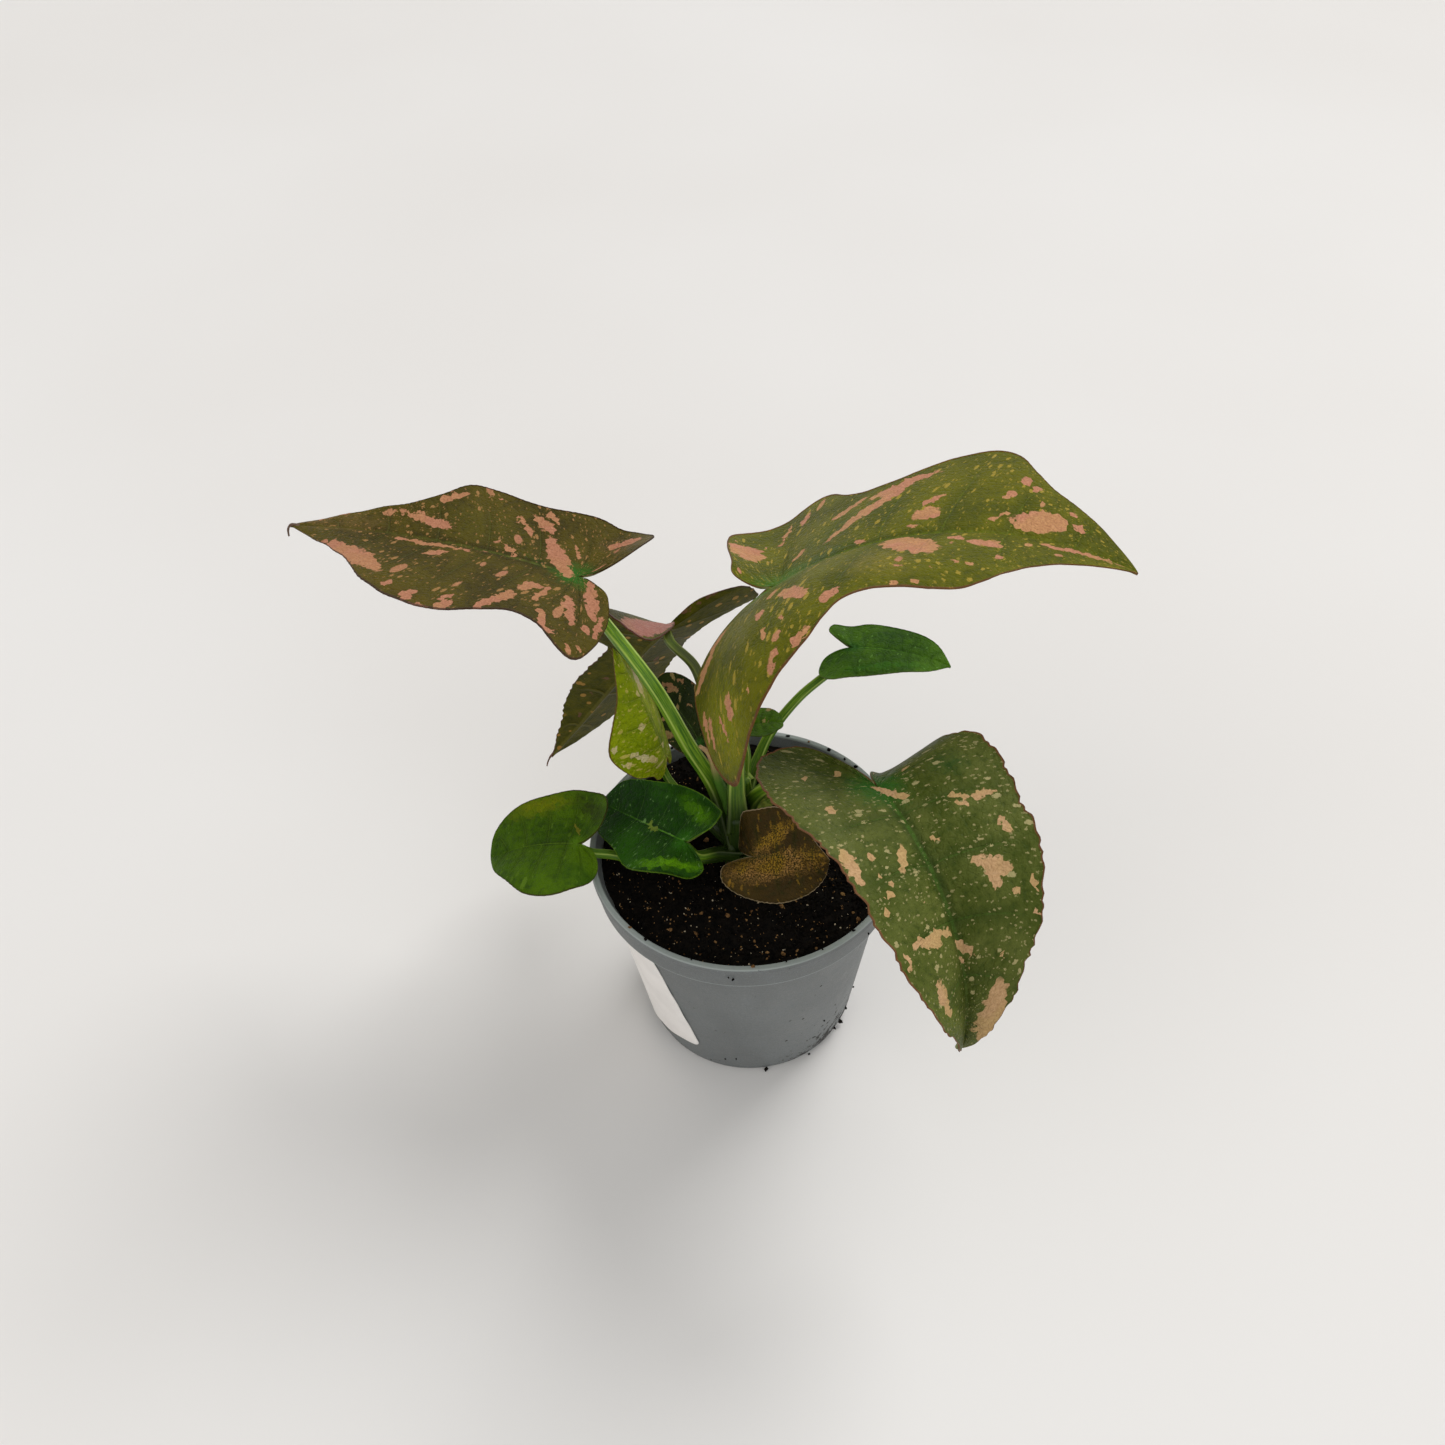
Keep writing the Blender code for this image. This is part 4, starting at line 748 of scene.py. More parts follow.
# Splashes on the leaves: middle, direction, half length and half width, flat on the leaf
SPLASHES = {
    "blade_left_large": (
        (40.3, 10, 153, 9.83, 2.42), (31.9, -4.5, 174, 6.35, 1.13), (30.9, -11.6, -137, 2.9, 0.98),
        (40.3, -4.7, -170, 1.28, 0.76), (52.7, -1.8, -164, 1.32, 0.25), (5.3, -3.7, 132, 6.63, 1.65),
        (14.8, -9.4, 142, 3.32, 0.62), (11.7, -11, 152, 3.56, 1.06), (11.1, -13.4, 136, 1.75, 0.56),
        (14.4, -1.8, 145, 2.65, 0.47), (23.5, -14.5, -176, 1.4, 0.41), (-5, -11.2, -157, 3.46, 1.31),
        (2.7, -6.3, 116, 2.31, 0.49), (28.1, 1.6, -179, 7.82, 0.65), (9.6, -12.1, 149, 1.09, 0.3),
        (25.9, 4.8, -147, 2.45, 0.82), (28.6, 17.2, -115, 1.64, 0.77), (23.5, 19.6, -117, 1.85, 1.28),
        (20.6, 21.8, 173, 2.74, 0.25), (16, 20.5, -127, 2.04, 1.2), (16.7, 18.1, -122, 1.35, 0.65),
        (9.8, 18.2, -114, 2.17, 1.03), (7.7, 14.2, -120, 2.4, 1.54), (5.2, 8.6, -139, 2.13, 1.31),
        (2.4, 10, -97, 3.44, 0.73), (-1.1, 17.1, 119, 3.01, 0.84), (-3.3, 18.6, -168, 1.18, 0.51),
        (-3.5, 10.9, 119, 4.28, 0.91), (-5.2, 5.2, 117, 5.23, 1.26), (-7.9, 12.8, 116, 0.94, 0.65),
        (-9.3, 10.4, 101, 2.96, 0.54), (-7.5, 19.6, 116, 1.15, 0.44), (-8.8, 17.8, 107, 0.65, 0.36),
    ),
    "blade_right_large": (
        (-7.2, 15.2, 15, 2.95, 3.6), (-4.4, 19.3, -90, 1.15, 0.45), (-1.1, 24.1, 80, 5.03, 0.46),
        (3.1, 27, 77, 2.79, 0.82), (18.4, 14.3, 33, 11.19, 1.63), (13.6, 19.1, 16, 4.72, 0.98),
        (24.7, 19.5, 8, 7.07, 1.31), (3.1, 9.3, 39, 2.31, 0.49), (30.1, 10.2, 32, 2.76, 0.65),
        (29.1, 6.1, 24, 2.37, 1.63), (26.2, 2.6, -15, 0.7, 0.55), (26.6, -5.8, -40, 6.76, 3.27),
        (16.7, 1.8, -32, 1.17, 0.59), (34.5, -4.2, -34, 1.69, 0.82), (39.1, -6, -8, 3.35, 1.63),
        (41.6, -11, 21, 0.9, 0.79), (37.2, -14.7, 11, 0.62, 0.82), (34.7, -13.9, 1, 0.45, 0.49),
        (31.5, -16.2, -18, 0.72, 0.25), (25.7, -14.8, -13, 0.89, 0.49), (28.6, -20.3, -5, 0.81, 0.65),
        (25.2, -20.4, -4, 0.81, 0.49), (47.7, 3.9, 9, 5, 2.53), (43, 10.2, 41, 1.54, 0.52),
        (45.9, 14.1, -2, 0.82, 1.09), (47.6, 12.1, 8, 0.69, 0.82), (54.4, 4.3, 20, 0.9, 0.78),
        (53.3, 6.9, 21, 0.88, 0.66), (40.8, 4.1, 41, 2.5, 0.36), (54.6, -1.8, 10, 6.69, 0.82),
        (6.6, -14.3, -49, 4.63, 1.61), (14.1, -20.3, 39, 2.44, 1.46), (8.1, -28.4, 34, 2.78, 1.01),
        (0.1, -16.6, -86, 1.44, 0.91), (1, -23.1, -89, 1.36, 0.55), (3.8, -25.7, -102, 1.1, 0.65),
        (5, -21.7, -91, 0.51, 0.44), (3, -29.2, -111, 0.95, 0.65), (-13.1, -5.9, 12, 2.83, 1.63),
        (-17.6, -11, 40, 4.46, 1.96), (-9.6, -31.6, -94, 3.1, 0.92), (-3.9, -32.3, -100, 0.9, 0.29),
        (-17.7, -29.6, -101, 3.5, 0.98), (-19.3, -25.3, -93, 4.2, 0.82), (-13, -32.9, -86, 3.44, 0.25),
    ),
    "blade_front_large": (
        (22, 8.8, 48, 3.74, 1.03), (23.8, 8.2, 2, 2.27, 0.92), (17.8, 13.2, 9, 2.02, 0.62),
        (11.4, 12.6, 73, 3, 0.86), (9.9, 10.1, 47, 2.31, 0.39), (11.1, 9.3, 53, 1.07, 0.41),
        (1.9, 0.8, 32, 3.69, 0.94), (13.6, 2.6, 57, 0.89, 0.32), (15, -4.4, -26, 2.46, 0.83),
        (14.6, -13.8, 1, 3.75, 1.12), (2.6, -10.5, 71, 1.15, 0.96), (-6.5, -10.4, 76, 0.69, 0.82),
        (-6.1, -4.3, 70, 0.63, 1.07), (17, -9.6, -26, 0.95, 0.25), (19.1, -8.4, 68, 0.56, 0.48),
        (20.5, -10.2, -28, 0.85, 0.44), (22.7, -12, -22, 0.7, 0.35), (10.6, -7.8, 81, 0.14, 0.3),
        (13.8, -9.7, 68, 0.6, 0.33), (22.8, -4.9, -26, 0.49, 0.34), (24.7, -5.2, -24, 0.5, 0.25),
        (28.3, -5.5, 97, 4.86, 1.09), (26.5, -9.5, -22, 0.48, 0.25), (31.6, 1, 38, 2.37, 0.67),
        (33.9, 0.5, 38, 1.58, 0.31), (35.1, 6.4, 83, 0.39, 0.44), (30.6, -12.2, -9, 1.19, 0.44),
        (38, -7.8, 7, 3.64, 1.01), (44.9, 4.2, -14, 6.45, 2.16), (27.2, 13.8, -1, 1.8, 0.26),
        (27.1, 11.1, 71, 0.64, 0.25), (31.5, 13, 20, 0.97, 0.31), (27.7, 6.1, 62, 0.4, 0.27),
    ),
    "blade_young_upright": (
        (16, -2.9, 161, 3.34, 1.63), (3.7, 5.2, -140, 3.95, 0.8), (9.6, 10.2, 151, 0.96, 0.85),
        (9.5, 3, -135, 0.88, 0.26), (5.4, 9.4, -138, 1.58, 0.31), (14.9, 6.2, -179, 0.62, 0.25),
    ),
    "blade_dark_back": (
        (13.1, -2, -175, 1.78, 0.61), (12.8, -4.4, -152, 1.11, 0.43), (9.9, 4.5, -126, 0.86, 0.42),
        (7.9, -2.4, -129, 0.91, 0.38),
    ),
    "blade_front_round": (
        (4.2, 3.2, 29, 6.04, 1.44), (4.6, -1.6, 12, 9.82, 2.68),
    ),
    "blade_back_hanging": (
        (-9.4, 9, -60, 8.66, 3.23), (-4.6, 1.8, -107, 3.8, 0.87), (-8.1, -3.8, -139, 3.68, 0.25),
        (23.9, 2.2, -112, 0.85, 0.65), (29.5, 2.6, -115, 0.55, 0.65), (34.2, -0.5, -73, 0.87, 0.65),
        (17.3, -5.5, -27, 1.44, 0.41), (16.1, 0.7, -121, 0.6, 0.98), (37.6, 1.6, -23, 0.87, 0.39),
    ),
    "blade_left_round": (
        (0.3, -3, 125, 2.4, 0.38),
    ),
    "blade_front_heart": (
        (8, 0.2, 170, 1.78, 0.47),
    ),
}

# Soft tints on the leaves: the same, then a colour and its strength
TINTS = {
    "blade_left_large": (
        (1.4, 0.2, 142, 5.62, 1.75, (34, 92, 12), 0.9), (4.7, 0.6, 161, 5.95, 0.96, (46, 106, 16), 0.7),
        (26.3, 18.6, 162, 10.92, 1.32, (98, 80, 12), 0.55),
        (22.5, -5.9, 171, 12.67, 4.4, (90, 86, 14), 0.55), (-7.8, 11.7, 93, 7.95, 1.67, (86, 76, 28), 0.5),
        (47.3, -1, -178, 8.86, 2.3, (116, 94, 54), 0.6), (-5.8, -10, 167, 5.85, 2.62, (112, 94, 62), 0.6),
    ),
    "blade_right_large": (
        (8.1, 1.7, -1, 9.98, 2.29, (54, 90, 8), 0.6), (8.9, 11.4, 8, 13.67, 3.92, (66, 84, 14), 0.5),
        (41.2, 15.4, -22, 10.93, 6.7, (106, 104, 4), 0.6), (60.5, 0.6, -3, 4.08, 1.62, (72, 84, 8), 0.6),
        (-12, -32, -94, 10.34, 4.81, (140, 142, 0), 0.8),
        (-0.7, -16.9, 37, 7.39, 5.23, (100, 98, 26), 0.5),
        (22.4, -12.6, -33, 7.29, 4.37, (134, 122, 44), 0.7),
    ),
    "blade_front_large": (
        (3.1, 12.2, 48, 3.69, 1.95, (34, 76, 28), 0.7), (12.1, 16.1, -4, 4.76, 1.76, (70, 78, 30), 0.5),
        (-1.6, -2.7, 71, 2.59, 1.81, (42, 86, 30), 0.5),
        (4.4, -12.7, -8, 15.87, 3.05, (110, 116, 64), 0.6),
        (42.5, -7, 47, 7.07, 2.43, (104, 116, 30), 0.6), (1.4, 1.4, -4, 4.7, 0.83, (40, 96, 24), 0.5),
    ),
    "blade_young_upright": (
        (5.8, -5.1, 131, 5.6, 0.98, (160, 166, 90), 0.55), (13.9, 6, 155, 5.12, 1.57, (108, 126, 4), 0.5),
    ),
    "blade_dark_back": (
        (11, 2.2, 146, 5.8, 1.9, (34, 48, 12), 0.6),
    ),
    "blade_front_round": (
        (0.7, 5.3, 26, 6.59, 1.71, (50, 38, 16), 0.6),
    ),
    "blade_back_hanging": (
        (-4, 8.5, -83, 4.42, 0.25, (44, 56, 22), 0.9), (-7.8, -7.8, -115, 7.37, 2.94, (46, 56, 18), 0.8),
        (14.9, 2.9, -144, 6.53, 3.92, (84, 80, 10), 0.6), (36.2, 0.9, -159, 7.16, 4.58, (70, 60, 12), 0.6),
    ),
    "blade_left_round": (
        (8.6, -8.4, -167, 6.18, 1.86, (138, 142, 8), 0.75),
        (-1.7, -7.4, 140, 5.53, 1.77, (42, 46, 14), 0.85), (8.5, 6.8, 147, 8.77, 1.59, (82, 118, 0), 0.6),
    ),
    "blade_front_heart": (
        (-0.9, 5.5, -158, 6.88, 1.02, (118, 182, 0), 0.85),
        (-0.4, -5.7, 167, 6.6, 1.43, (100, 158, 2), 0.8), (10.4, -0.6, 153, 8.82, 2.61, (14, 44, 4), 0.6),
    ),
    "blade_small_right": (
        (4.7, 3, 14, 5.35, 2.06, (22, 62, 14), 0.6), (7, -4.6, 16, 9.48, 0.78, (60, 122, 24), 0.5),
    ),
}


def sweep(route, radius, sides, section, up=(0.0, 0.0, 1.0)):
    """Rings along a route. radius gives a size at a share of the way, section shapes the ring."""
    count = len(route)
    tangents = np.gradient(route, axis=0)
    tangents /= np.linalg.norm(tangents, axis=1)[:, None]
    side = np.cross(tangents[0], np.array(up) + 0.01)
    side /= np.linalg.norm(side)
    run = np.concatenate([[0.0], np.cumsum(np.linalg.norm(np.diff(route, axis=0), axis=1))])
    points, uvs = [], []
    for i in range(count):
        side = side - tangents[i] * (side @ tangents[i])
        side /= np.linalg.norm(side)
        top = np.cross(side, tangents[i])
        share = run[i] / run[-1]
        for k in range(sides):
            angle = math.tau * k / sides
            size = radius(share, run[i], run[-1]) * section(angle, share)
            points.append(route[i] + (side * math.cos(angle) + top * math.sin(angle)) * size)
            uvs.append((k / sides, run[i]))
    faces = []
    for i in range(count - 1):
        for k in range(sides):
            a, b = i * sides + k, i * sides + (k + 1) % sides
            faces.append((a, b, b + sides, a + sides))
    faces.append(tuple(range(sides))[::-1])
    faces.append(tuple(range((count - 1) * sides, count * sides)))
    return points, faces, uvs


def join_parts(name, parts):
    """One mesh from several swept parts, with a UV map of turn and run."""
    points, faces, corners = [], [], []
    for part_points, part_faces, uvs in parts:
        start = len(points)
        points += [tuple(point * MM) for point in part_points]
        for face in part_faces:
            faces.append([v + start for v in face])
            for v in face:
                u, run = uvs[v]
                corners.append((u, run))
    mesh = bpy.data.meshes.new(name)
    mesh.from_pydata(points, [], faces)
    layer = mesh.uv_layers.new(name="run")
    layer.uv.foreach_set("vector", np.array(corners, np.float32).ravel())
    mesh.update()
    mesh.shade_smooth()
    work = bmesh.new()
    work.from_mesh(mesh)
    bmesh.ops.recalc_face_normals(work, faces=work.faces)
    work.to_mesh(mesh)
    work.free()
    return mesh


def stalk_section(angle, share):
    """A stalk's ring: a channel above between two thin edges, widest at the sheathing foot."""
    from_top = abs((angle - math.pi / 2 + math.pi) % math.tau - math.pi)
    wing = 0.1 + 0.55 * max(0.0, 1 - share * 3.2) ** 1.5
    edge = wing * math.exp(-((from_top - 0.75) / 0.17) ** 2)
    channel = (0.16 + 0.2 * wing) * math.exp(-(from_top / 0.5) ** 4)
    return 1.0 - channel + edge + 0.02 * math.cos(11 * angle)


def stalk(petiole, blade, sides=32):
    """A leaf stalk from the crown into the blade's midrib."""
    foot, end = petiole["radii"]
    tip, _, face = blade_axes(blade)
    lie = petiole["lie"]
    ahead = (face * (1 - lie) + tip * lie) / math.hypot(lie, 1 - lie)
    reach = BLADE_THICKNESS + GAP + end * lie / math.hypot(lie, 1 - lie)
    last = np.array(blade["base"]) - face * reach
    knee = last - ahead * KNEE
    joint = np.array(blade["base"]) - face * 0.35 + tip * 0.9
    route = smooth_route([*petiole["via"], knee, (last * 0.6 + joint * 0.4), joint], 0.7)

    def radius(share, run, total):
        size = foot + (end - foot) * share
        size *= 1 + 0.35 * math.exp(-run / 5.0)
        left = total - run
        size *= 1 + 0.12 * math.exp(-((left - 2.6) / 1.3) ** 2)
        return size * min(1.0, 0.35 + left / 2.0)

    return sweep(route, radius, sides, stalk_section)


def stalk_material():
    """Living green stalk with long pale lines, painted highlights on its two channel edges, painted shade on its
    underside, and painted shade low down and round the crowns.
    """
    n = Nodes("stalk_green")
    run = n.add("UVMap", uv_map="run").outputs["UV"]
    split = n.add("SeparateXYZ", {0: run})
    stretched = n.add("CombineXYZ", {"X": n.math("MULTIPLY", split.outputs["X"], 26.0),
                                     "Y": n.math("MULTIPLY", split.outputs["Y"], 0.12)}).outputs[0]
    place = n.vector("SCALE", n.add("TexCoord").outputs["Object"], scale=1000.0)
    height = n.add("SeparateXYZ", {0: place}).outputs["Z"]
    x, y = (n.add("SeparateXYZ", {0: place}).outputs[key] for key in "XY")
    lines = n.noise(stretched, 1.0, 3.0, 0.6)
    broad = n.noise(place, 0.12, 2.0)
    fine = n.noise(place, 3.0, 4.0, 0.6)
    colour = n.mix(n.ramp(lines, 0.35, 0.7), (58, 102, 4), (128, 164, 34))
    colour = n.mix(n.ramp(broad, 0.3, 0.7, 0.0, 0.5), colour, (56, 98, 4))
    turn = n.math("ABSOLUTE", n.math("SUBTRACT", split.outputs["X"], 0.25))
    # painted highlight: pale lines along the two channel edges
    edges = n.ramp(n.math("ABSOLUTE", n.math("SUBTRACT", turn, 0.12)), 0.03, 0.01)
    colour = n.mix(n.math("MULTIPLY", edges, 0.7), colour, (176, 198, 92))
    # painted shade on the underside of each stalk
    colour = n.mix(n.ramp(n.math("ABSOLUTE", n.math("SUBTRACT", split.outputs["X"], 0.75)), 0.18, 0.0, 0.0, 0.6),
                   colour, (46, 84, 4))
    colour = n.mix(n.ramp(fine, 0.55, 0.75, 0.0, 0.25), colour, (150, 184, 70))
    flat = n.add("CombineXYZ", {"X": n.math("ADD", x, 1.5), "Y": n.math("ADD", y, 2.5)}).outputs[0]
    from_crown = n.vector("LENGTH", flat)
    # painted shade: dark green low down and under the leaves round the crowns
    crown = n.math("MULTIPLY", n.ramp(height, 67.0, 56.0), n.ramp(from_crown, 9.5, 5.5))
    crown = n.math("MAXIMUM", crown, n.ramp(height, 54.0, 46.0))
    colour = n.mix(n.math("MULTIPLY", crown, 0.9), colour, (30, 48, 8))
    purple = n.math("MULTIPLY", n.ramp(height, 57.0, 64.0), n.ramp(x, 2.0, -1.0))
    purple = n.math("MULTIPLY", purple, n.math("MULTIPLY", n.ramp(y, 17.0, 20.0), n.ramp(broad, 0.3, 0.6, 0.5, 1.0)))
    colour = n.mix(n.math("MULTIPLY", purple, 0.55), colour, (84, 62, 50))
    normal = n.bump(lines, 0.00012, 0.6)
    normal = n.bump(fine, 0.00006, 0.5, normal)
    return n.finish(Base_Color=colour, Roughness=n.ramp(fine, 0.3, 0.7, 0.36, 0.5), Normal=normal,
                    Specular_IOR_Level=0.3)


def turned(name, profile, steps, threshold=0.00002):
    """A turned shell from its profile."""
    edges = [(index, index + 1) for index in range(len(profile) - 1)]
    mesh = bpy.data.meshes.new(name)
    mesh.from_pydata([(radius * MM, 0.0, height * MM) for radius, height in profile], edges, [])
    obj = bpy.data.objects.new(name, mesh)
    bpy.context.scene.collection.objects.link(obj)
    screw = obj.modifiers.new("turn", "SCREW")
    screw.steps = steps
    screw.render_steps = steps
    screw.use_merge_vertices = True
    screw.merge_threshold = threshold
    screw.use_smooth_shade = True
    return obj


def apply_modifiers(obj):
    """Replace an object's mesh by what its modifiers make."""
    evaluated = obj.evaluated_get(bpy.context.evaluated_depsgraph_get())
    mesh = bpy.data.meshes.new_from_object(evaluated)
    obj.modifiers.clear()
    obj.data = mesh
    return mesh


def wall_radius(height):
    """Outer radius of the pot's wall below the collar."""
    return POT_BASE_RADIUS + (WALL_TOP_RADIUS - POT_BASE_RADIUS) * height / (POT_HEIGHT - COLLAR_HEIGHT)


def rounded(points, radius, count=5):
    """A profile with its corners rounded."""
    result = [points[0]]
    for before, corner, after in zip(points, points[1:], points[2:]):
        before, corner, after = (np.array(p, float) for p in (before, corner, after))
        back, ahead = before - corner, after - corner
        size = min(radius, np.linalg.norm(back) * 0.45, np.linalg.norm(ahead) * 0.45)
        start = corner + back / np.linalg.norm(back) * size
        end = corner + ahead / np.linalg.norm(ahead) * size
        for k in range(count + 1):
            t = k / count
            result.append(tuple((1 - t) ** 2 * start + 2 * t * (1 - t) * corner + t * t * end))
    result.append(points[-1])
    return result


def make_pot(material):
    """The nursery pot, with its stepped collar, foot ring and drain holes."""
    collar = POT_HEIGHT - COLLAR_HEIGHT
    rim = POT_RIM_RADIUS
    inner = rim - 1.25
    profile = [
        (0.0, FLOOR_THICKNESS),
        (wall_radius(FLOOR_THICKNESS) - WALL, FLOOR_THICKNESS),
        (WALL_TOP_RADIUS - WALL, collar),
        (inner - 0.75, POT_HEIGHT - 3.0),
        (inner - 0.05, POT_HEIGHT - 0.3),
        (inner + 0.15, POT_HEIGHT),
        (rim - 0.15, POT_HEIGHT),
        (rim, POT_HEIGHT - 1.3),
        (rim - 0.3, POT_HEIGHT - 1.6),
        (COLLAR_RADIUS + 0.15, collar + 4.4),
        (COLLAR_RADIUS, collar),
        (WALL_TOP_RADIUS, collar - 0.35),
        (wall_radius(2.4), 2.4),
        (wall_radius(2.1) - 0.35, 2.1),
        (wall_radius(0.5) - 0.35, 0.5),
        (POT_BASE_RADIUS - 0.9, 0.0),
        (POT_BASE_RADIUS - 2.2, 0.0),
        (0.0, 0.0),
    ]
    pot = turned("nursery_pot", rounded(profile, 0.22), 180)
    for index in range(DRAIN_COUNT):
        angle = math.radians(DRAIN_START) + math.tau * index / DRAIN_COUNT
        bpy.ops.mesh.primitive_cylinder_add(
            vertices=40, radius=DRAIN_RADIUS * MM, depth=8 * MM,
            location=(DRAIN_RING * math.cos(angle) * MM, DRAIN_RING * math.sin(angle) * MM, 0.0))
        cutter = bpy.context.object
        boolean = pot.modifiers.new("drain", "BOOLEAN")
        boolean.operation = "DIFFERENCE"
        boolean.object = cutter
        cutter["cutter"] = True
    mesh = apply_modifiers(pot)
    for obj in [o for o in bpy.data.objects if o.get("cutter")]:
        bpy.data.objects.remove(obj, do_unlink=True)
    mesh.materials.clear()
    mesh.materials.append(material)
    mesh.shade_smooth()
    mesh.set_sharp_from_angle(angle=math.radians(50))
    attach(pot, "root")
    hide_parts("pot")
    return pot


def pot_material():
    """Grey moulded plastic with a fine grain, scuffs, dust, peat smeared low at the right, and painted highlights on
    the rim top and the collar's lower edge.
    """
    n = Nodes("grey_plastic")
    place = n.vector("SCALE", n.add("TexCoord").outputs["Object"], scale=1000.0)
    split = n.add("SeparateXYZ", {0: place})
    x, y, z = (split.outputs[key] for key in "XYZ")
    grain = n.noise(place, 2.2, 4.0, 0.6)
    broad = n.noise(place, 0.06, 2.0)
    cloud = n.noise(place, 0.25, 4.0, 0.6)
    colour = n.mix(n.ramp(broad, 0.3, 0.7), (102, 105, 104), (113, 116, 115))
    colour = n.mix(n.ramp(cloud, 0.35, 0.75, 0.0, 0.25), colour, (134, 139, 141))
    colour = n.mix(n.ramp(grain, 0.4, 0.7, 0.0, 0.35), colour, (90, 98, 104))
    speckle = n.noise(place, 5.0, 3.0, 0.7)
    colour = n.mix(n.ramp(speckle, 0.5, 0.7, 0.0, 0.4), colour, (140, 147, 150))
    # painted highlights: a lighter band on the rim top and a thin line at the collar's lower edge
    lip_and_collar_highlight = n.math("MAXIMUM", n.ramp(z, 47.0, 47.35), n.math("MULTIPLY", n.ramp(z, 41.9, 41.6), n.ramp(z, 41.3, 41.5)))
    colour = n.mix(n.math("MULTIPLY", lip_and_collar_highlight, 0.6), colour, (172, 182, 178))
    scratches = n.add("CombineXYZ", {"X": n.math("MULTIPLY", x, 0.25), "Y": n.math("MULTIPLY", y, 0.25),
                                     "Z": n.math("MULTIPLY", z, 4.0)}).outputs[0]
    scuff = n.noise(scratches, 1.2, 5.0, 0.7)
    colour = n.mix(n.ramp(scuff, 0.62, 0.72, 0.0, 0.25), colour, (156, 160, 164))
    dirt = n.noise(place, 0.55, 5.0, 0.75)
    low = n.ramp(z, 9.0, 0.0)
    right = n.math("MULTIPLY", n.math("MULTIPLY", n.ramp(x, 2.0, 17.0), n.ramp(y, 2.0, -7.0)), n.ramp(z, 19.0, 2.0))
    level = n.math("ADD", n.math("MULTIPLY", low, 0.08), n.math("MULTIPLY", right, 0.175))
    smear = n.ramp(n.math("ADD", dirt, level), 0.66, 0.72)
    flecks = n.cells(place, 0.3)
    rare = n.add("SeparateColor", {0: flecks.outputs["Color"]})
    fleck = n.math("LESS_THAN", n.math("ADD", flecks.outputs["Distance"], n.math("MULTIPLY", dirt, 0.12)),
                   n.ramp(rare.outputs["Green"], 0.0, 1.0, 0.1, 0.2))
    smear = n.math("MAXIMUM", smear, n.math("MULTIPLY", fleck, n.math("GREATER_THAN", n.math("ADD", rare.outputs["Red"], n.ramp(z, 45.8, 47.2, 0.0, 0.1)), 0.86)))
    colour = n.mix(n.math("MULTIPLY", smear, 0.85), colour, (38, 32, 28))
    outer = n.math("ADD", n.math("MULTIPLY", z, (WALL_TOP_RADIUS - POT_BASE_RADIUS) / (POT_HEIGHT - COLLAR_HEIGHT)),
                   POT_BASE_RADIUS)
    behind = n.math("SUBTRACT", outer, n.vector("LENGTH", n.add("CombineXYZ", {"X": x, "Y": y}).outputs[0]))
    inside = n.math("MULTIPLY", n.ramp(behind, 0.1, 0.2), n.math("MULTIPLY", n.ramp(z, 2.6, 3.2), n.ramp(z, 47.3, 46.6)))
    colour = n.mix(n.math("MULTIPLY", inside, n.ramp(dirt, 0.35, 0.55, 0.3, 0.95)), colour, (30, 27, 25))
    normal = n.bump(grain, 0.00012, 0.5)
    normal = n.bump(scuff, 0.00008, 0.4, normal)
    rough = n.math("ADD", n.ramp(cloud, 0.3, 0.7, 0.42, 0.55), n.math("MULTIPLY", smear, 0.35))
    return n.finish(Base_Color=colour, Roughness=rough, Normal=normal, Specular_IOR_Level=0.35)


def label_point(u, v, lift):
    """A point of the label: u runs clockwise round the wall, v up it, both tilted."""
    tilt = math.radians(LABEL_TILT)
    side, up = u * LABEL_WIDTH, v * LABEL_HEIGHT
    height = LABEL_CORNER[1] + up * math.cos(tilt) - side * math.sin(tilt)
    arc = side * math.cos(tilt) + up * math.sin(tilt)
    middle = wall_radius(LABEL_CORNER[1] + LABEL_HEIGHT / 2)
    angle = math.radians(LABEL_CORNER[0]) - arc / middle
    radius = wall_radius(height) + lift
    return (radius * math.cos(angle) * MM, radius * math.sin(angle) * MM, height * MM)


def make_label(material):
    """The blank label: paper on the wall, with rounded corners and a slightly lifted edge."""
    across, along = 60, 60
    mesh = bpy.data.meshes.new("blank_label")
    work = bmesh.new()
    rows = []
    for i in range(across + 1):
        row = []
        for j in range(along + 1):
            u, v = i / across, j / along
            corner = 1.5
            px, py = u * LABEL_WIDTH, v * LABEL_HEIGHT
            cx = min(max(px, corner), LABEL_WIDTH - corner)
            cy = min(max(py, corner), LABEL_HEIGHT - corner)
            away = math.hypot(px - cx, py - cy)
            if away > 0 and abs(px - cx) > 0 and abs(py - cy) > 0:
                most = max(abs(px - cx), abs(py - cy))
                px, py = cx + (px - cx) * most / away, cy + (py - cy) * most / away
            edge = min(px, LABEL_WIDTH - px, py, LABEL_HEIGHT - py)
            lift = 0.16 + 0.1 * math.exp(-edge / 0.7) * (0.5 + 0.5 * math.sin(px * 0.9 + py * 0.7))
            row.append(work.verts.new(label_point(px / LABEL_WIDTH, py / LABEL_HEIGHT, lift)))
        rows.append(row)
    for i in range(across):
        for j in range(along):
            work.faces.new((rows[i][j], rows[i + 1][j], rows[i + 1][j + 1], rows[i][j + 1]))
    bmesh.ops.recalc_face_normals(work, faces=work.faces)
    work.to_mesh(mesh)
    work.free()
    mesh.shade_smooth()
    label = new_object("blank_label", mesh, [material])
    solid = label.modifiers.new("paper", "SOLIDIFY")
    solid.thickness = 0.12 * MM
    solid.offset = 0.0
    apply_modifiers(label)
    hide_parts("pot_label")
    return label


